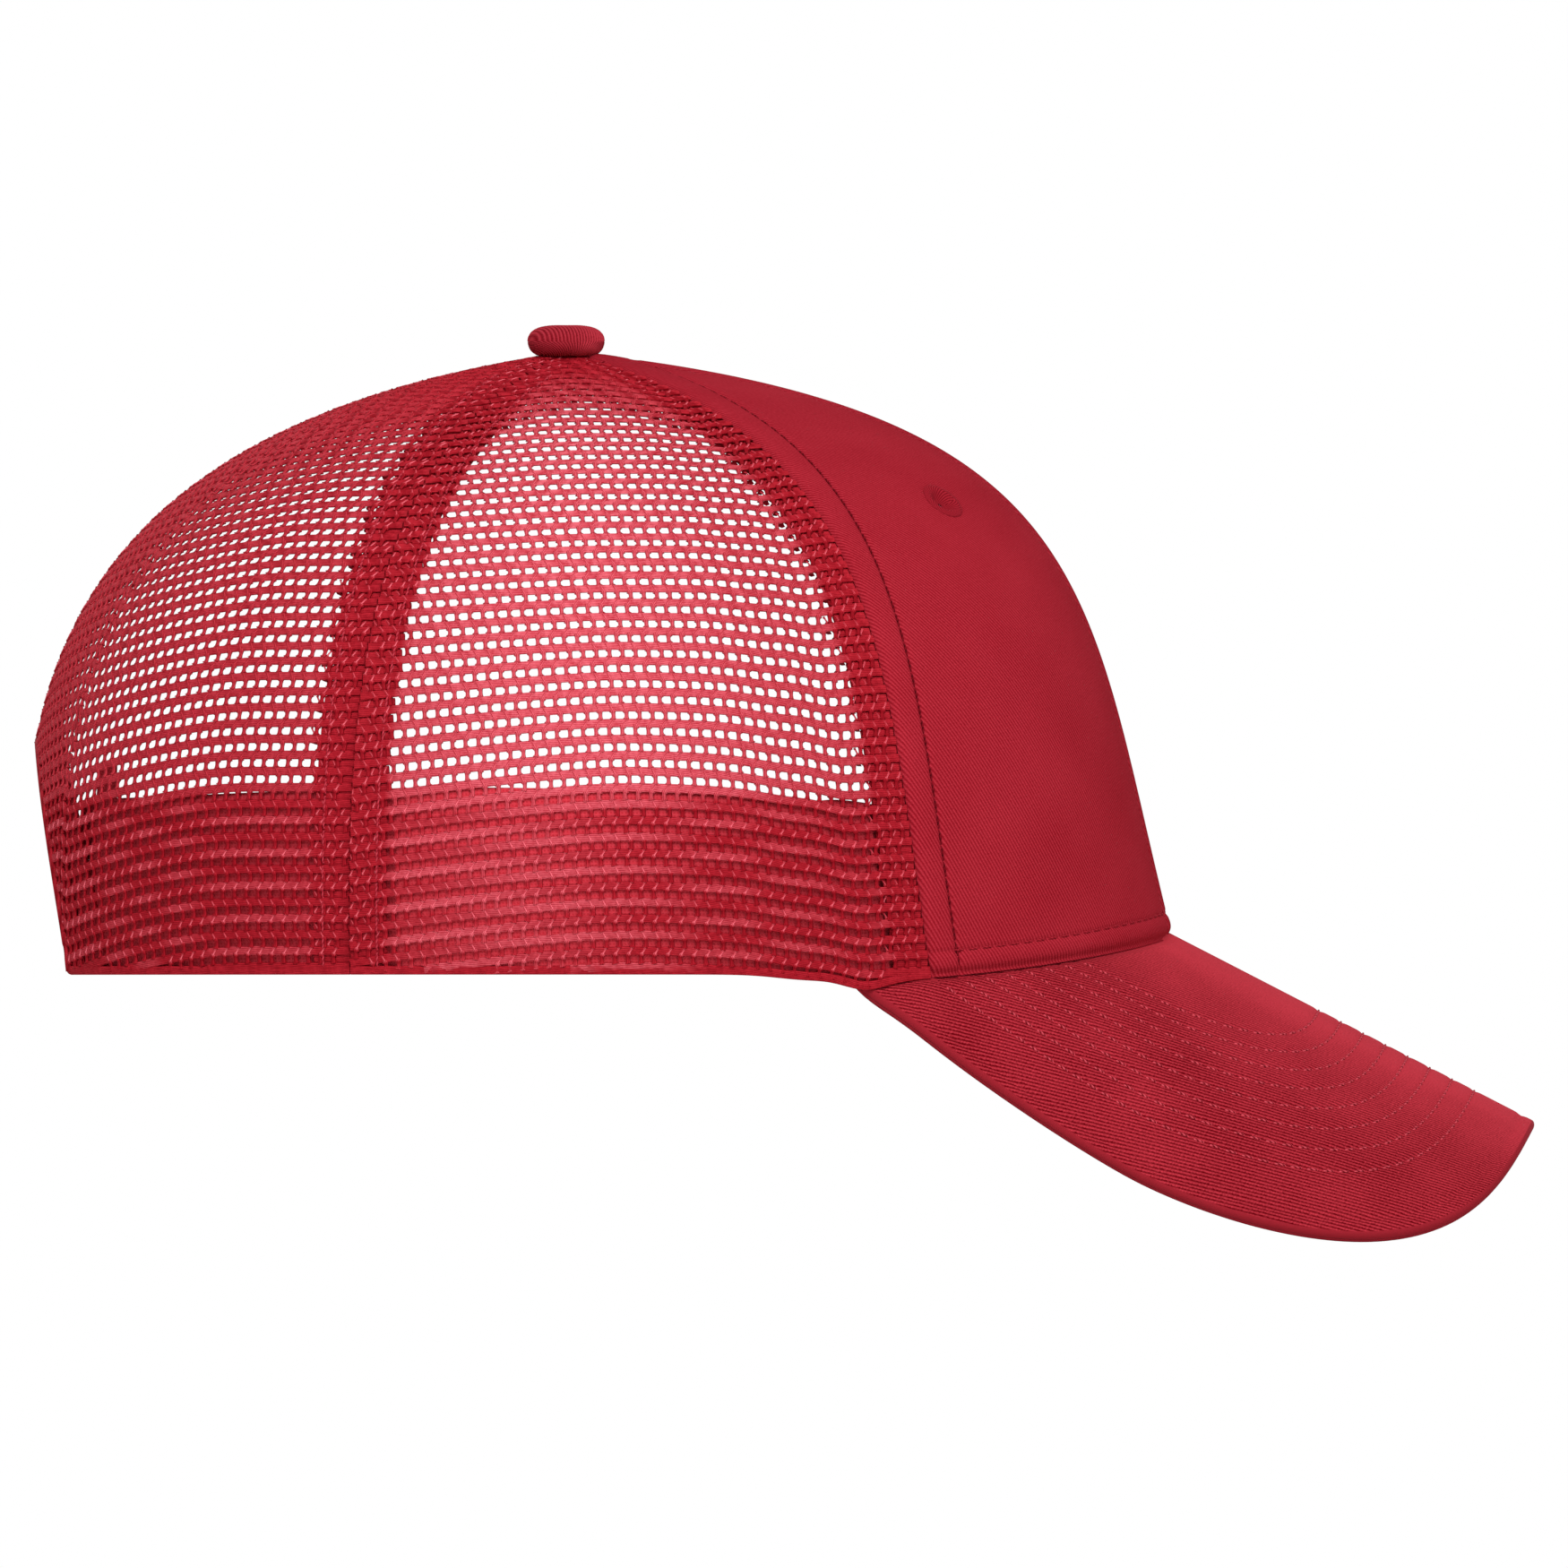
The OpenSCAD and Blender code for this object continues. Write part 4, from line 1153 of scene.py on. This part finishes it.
def button_cover():
    """A flattened dome: radius and height on a squared circle from the gathered foot to the top. The ribs
    are a sine across it: parallel over the top, and drawn together below, where the cloth is gathered."""
    a = np.linspace(np.radians(-60), np.pi / 2, 48)[None]
    turn = (np.arange(560) * 2 * np.pi / 560)[:, None]
    radius = BUTTON_R * np.abs(np.cos(a)) ** 0.55
    half_height = np.where(a < 0, BUTTON_FOOT_H, BUTTON_DOME_H)
    height = BUTTON_WAIST_Z + half_height * np.sign(np.sin(a)) * np.abs(np.sin(a)) ** 0.95
    across = radius * np.cos(turn - 0.35) * (1 + 1.1 * np.maximum(-a, 0)) + 0.5 * np.sin(turn)
    ribs = BUTTON_RIB * np.clip(np.cos(a), 0, 1) ** 0.3 * np.sin(across * 2 * np.pi / BUTTON_RIB_PITCH)
    out = radius + ribs * np.cos(a)
    points = np.stack([out * np.cos(turn), out * np.sin(turn), height + ribs * np.sin(a) + 0 * turn], -1)
    uv = np.stack(np.broadcast_arrays(across + 0 * a, a * 6 + 0 * turn), -1)
    foot = np.arange(len(turn))[None] * a.shape[1]
    faces = grid_faces(len(turn), a.shape[1], round_columns=True)
    return (points + CROWN_TOP).reshape(-1, 3), [faces, foot[:, ::-1]], uv.reshape(-1, 2)


def metal_finish(name, colour):
    """Stamped steel with fine scratches in its gloss."""
    material, shader, wire = new_finish(name, {"Metallic": 1.0})
    place = wire.node("TexCoord", None, None, 3)
    grain = place.noise(900.0, 3.0)
    (grain * 0.3 + 0.2).into(shader.inputs["Roughness"])
    grain.between(colour, paint(214, 212, 208)).into(shader.inputs["Base Color"])
    return material


def refinish(nodes, finish):
    """Gives CAD nodes that stay in view their finish."""
    for node in nodes:
        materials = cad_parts[node].data.materials
        materials.clear()
        materials.append(finish)


button_twill = twill_finish("button twill", paint(112, 4, 18), paint(200, 60, 74), 0, BUTTON_RIB_PITCH,
                            0.05)
make_piece("button_twill", button_cover(), button_twill, replaces=["button_cover"])
refinish(("button_shell", "button_prong"), metal_finish("button steel", paint(176, 174, 170)))


# Eyelets
# A sewn eyelet high on each front panel: red thread wound in close turns over the rim of a small hole.
# It draws the cloth in, so the ring lies in a shallow hollow.
EYELET_R = 4.2
EYELET_HOLE_R = 0.45
EYELET_TURNS = 50
EYELET_RIDGE = 0.06
EYELET_CREST = 0.3
EYELET_HOLLOW = 1.3
EYELET_BACK = 1.95


def eyelet():
    """A ring of wound thread, ridged once for every turn. Outside the crown its profile is a low crest that
    falls in toward the hole like a crater, and inside the crown it is full."""
    turn = np.arange(EYELET_TURNS * 6) * 2 * np.pi / (EYELET_TURNS * 6)
    a = np.arange(20) * 2 * np.pi / 20
    ridge = EYELET_RIDGE * np.abs(np.sin(turn * EYELET_TURNS / 2))[:, None]
    middle, half = (EYELET_R + EYELET_HOLE_R) / 2, (EYELET_R - EYELET_HOLE_R) / 2
    across = np.sign(np.cos(a)) * np.abs(np.cos(a)) ** 0.8
    radius = middle + (half + ridge * 0.4) * across
    crater = EYELET_CREST * dip(across, 0.45, 0.4) - EYELET_HOLLOW * ease((0.2 - across) / 0.8)
    behind = -EYELET_BACK * np.abs(np.sin(a)) ** 0.4
    height = np.where(np.sin(a) > 0, crater, behind) + ridge * np.sin(a)
    out = crown_normal(EYELET_ANGLE, eyelet_v)
    side = unit(np.cross(np.array([0, 0, 1.0]), out))
    up = np.cross(out, side)
    spoke = np.cos(turn)[:, None, None] * side + np.sin(turn)[:, None, None] * up
    points = eyelet_at + radius[..., None] * spoke + height[..., None] * out
    uv = np.stack(np.broadcast_arrays(np.abs(turn - np.pi)[:, None] * EYELET_R, a[None] * half), -1)
    return points.reshape(-1, 3), [grid_faces(len(turn), len(a), True, True)], uv.reshape(-1, 2)


eyelet_thread = thread_finish("eyelet thread", paint(116, 8, 22), paint(168, 36, 50))
make_pair("eyelet_thread", eyelet(), eyelet_thread, "eyelet")


# Snap closure
# Two straps of red moulded plastic behind the arch: one with pegs inside, one with holes over them.
# Each is sewn in at its root between tape and sweatband and bends at a fold beside the arch.
STRAP_R = 1500.0
STRAP_T = 1.2
STRAP_H = 18.0
STRAP_Z = 12.0
STRAP_BACK = 103.83
STRAP_LEAN = np.radians(3)
FOLD_Y = 29.2
TAB_END_Y = 46.5
TAB_FREE_Y = 32.0
TAB_BEND_Y = 37.5
TAB_DEPTH = 1.9
TAB_EASE = 1.5
STRAP_GRIP = 3.2
HOLE_STRAP_DEPTH = 0.0
HOLE_TAB_SINK = 0.9
PEG_STRAP_DEPTH = 1.5
PEG_TAB_SINK = 2.4


def strap_place(y, depth):
    """Middle line of a strap in its leaning frame: a circle of the strap's radius, at a depth inside it."""
    reach = np.sqrt((STRAP_R - depth) ** 2 - y * y)
    x = STRAP_R - reach
    out = np.stack([-reach * np.cos(STRAP_LEAN), y, -reach * np.sin(STRAP_LEAN)], -1)
    place = np.stack([x * np.cos(STRAP_LEAN) - STRAP_BACK, y, STRAP_Z + x * np.sin(STRAP_LEAN)], -1)
    return place, unit(out)


def strap_root(depth, sink):
    """The sewn root of a strap: along the crown's wall from its end, then sinking to the fold and on to the
    strap, whose end it grips. Its section is a flat bar with round edges."""
    y = np.linspace(TAB_END_Y, FOLD_Y - STRAP_GRIP, 70)
    z = np.full_like(y, STRAP_Z)
    t, v = back_place(y, z)
    wall = lay(t, v, -TAB_DEPTH - STRAP_T / 2 - sink * ease((TAB_BEND_Y - y) / (TAB_BEND_Y - TAB_FREE_Y)))
    strap, strap_out = strap_place(y, depth + STRAP_T / 2)
    m = ease((TAB_FREE_Y + TAB_EASE - y) / (TAB_FREE_Y + TAB_EASE - FOLD_Y))[:, None]
    path = wall * (1 - m) + strap * m
    normals = unit(crown_normal(t, v) * (1 - m) + strap_out * m)
    a = np.arange(32) * 2 * np.pi / 32
    bar = np.stack([(STRAP_H / 2) * np.sign(np.cos(a)) * np.abs(np.cos(a)) ** 0.16,
                    (STRAP_T / 2) * np.sign(np.sin(a)) * np.abs(np.sin(a)) ** 0.5], -1)
    return tubes(path[None], normals[None], bar * [1.02, 1.25])


def plastic_finish(name, deep, light):
    """Moulded plastic: one colour clouded a little, with a fine grain in its gloss and surface."""
    material, shader, wire = new_finish(name, {"Specular IOR Level": 0.45, "Coat Weight": 0.06})
    place = wire.node("TexCoord", None, None, 3)
    cloud = place.noise(60.0, 2.0)
    grain = place.noise(3500.0, 2.0)
    cloud.between(deep, light).into(shader.inputs["Base Color"])
    (grain * 0.16 + 0.32).into(shader.inputs["Roughness"])
    grain.raise_surface(shader, 0.25, 0.03)
    return material


strap_plastic = plastic_finish("red plastic", paint(134, 14, 26), paint(158, 24, 38))
refinish(("peg_strap", "hole_strap"), strap_plastic)
hole_root = make_piece("hole_strap_root", strap_root(HOLE_STRAP_DEPTH, HOLE_TAB_SINK), strap_plastic,
                       body=None, replaces=["hole_strap_tab"])
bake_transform(hole_root)
peg_root = make_piece("peg_strap_root", mirrored(strap_root(PEG_STRAP_DEPTH, PEG_TAB_SINK)), strap_plastic,
                      body=None, replaces=["peg_strap_tab"])
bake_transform(peg_root)


# Studio
# A plain pale floor under the bill's lowest corners, a white world and three soft boxes. The camera is
# level with the cap at its right side, and its view has no perspective, as from a long lens far away.
FRAME_SIZE = 1750 / 6
VIEW_X = 30.33
VIEW_Z = 35.33
CAMERA_AWAY = 1.2
FLOOR_HALF = 3.0
FLOOR_GAP = 0.0004
CAP_MIDDLE = Vector((0.02, 0, 0.04))


def floor_finish():
    """Pale matt floor with a faint mottle."""
    material, shader, wire = new_finish("pale floor", {"Roughness": 0.9, "Specular IOR Level": 0.1})
    place = wire.node("TexCoord", None, None, 3)
    mottle = place.noise(9.0, 2.0)
    mottle.between(paint(234, 233, 231), paint(242, 241, 240)).into(shader.inputs["Base Color"])
    return material


floor_z = cad_box[0][2] - FLOOR_GAP
floor_mesh = bpy.data.meshes.new("floor")
floor_corners = [(x * FLOOR_HALF, y * FLOOR_HALF, floor_z) for x, y in ((-1, -1), (1, -1), (1, 1), (-1, 1))]
floor_mesh.from_pydata(floor_corners, [], [(0, 1, 2, 3)])
floor_mesh.materials.append(floor_finish())
floor = add_object("floor", floor_mesh)

world = bpy.data.worlds.new("studio")
bpy.context.scene.world = world
world.use_nodes = True
sky = Wire(world.node_tree)
path = sky.node("LightPath")
seen = path.out("Is Camera Ray") + path.out("Is Glossy Ray") + path.out("Is Transmission Ray")
background = world.node_tree.nodes["Background"]
background.inputs["Color"].default_value = (1, 1, 1, 1)
(0.4 + seen.held() * 0.6).into(background.inputs["Strength"])


def soft_box(name, place, size, power):
    """A square lamp aimed at the middle of the cap."""
    lamp = bpy.data.lights.new(name, "AREA")
    lamp.shape = "SQUARE"
    lamp.size = size
    lamp.energy = power
    box = add_object(name, lamp)
    box.location = place
    box.rotation_mode = "QUATERNION"
    box.rotation_quaternion = (CAP_MIDDLE - Vector(place)).to_track_quat("-Z", "Y")


soft_box("key", (0.0, -0.95, 0.75), 0.6, 9.5)
soft_box("front_fill", (1.0, -0.5, 0.6), 0.8, 2.0)
soft_box("back_fill", (-0.8, 0.7, 0.9), 0.8, 3.0)

lens = bpy.data.cameras.new("camera")
lens.type = "ORTHO"
lens.ortho_scale = FRAME_SIZE * MM
camera = add_object("camera", lens)
camera.location = (VIEW_X * MM, -CAMERA_AWAY, VIEW_Z * MM)
camera.rotation_euler = (np.pi / 2, 0, 0)
bpy.context.scene.camera = camera
bpy.context.scene.view_settings.view_transform = "Standard"
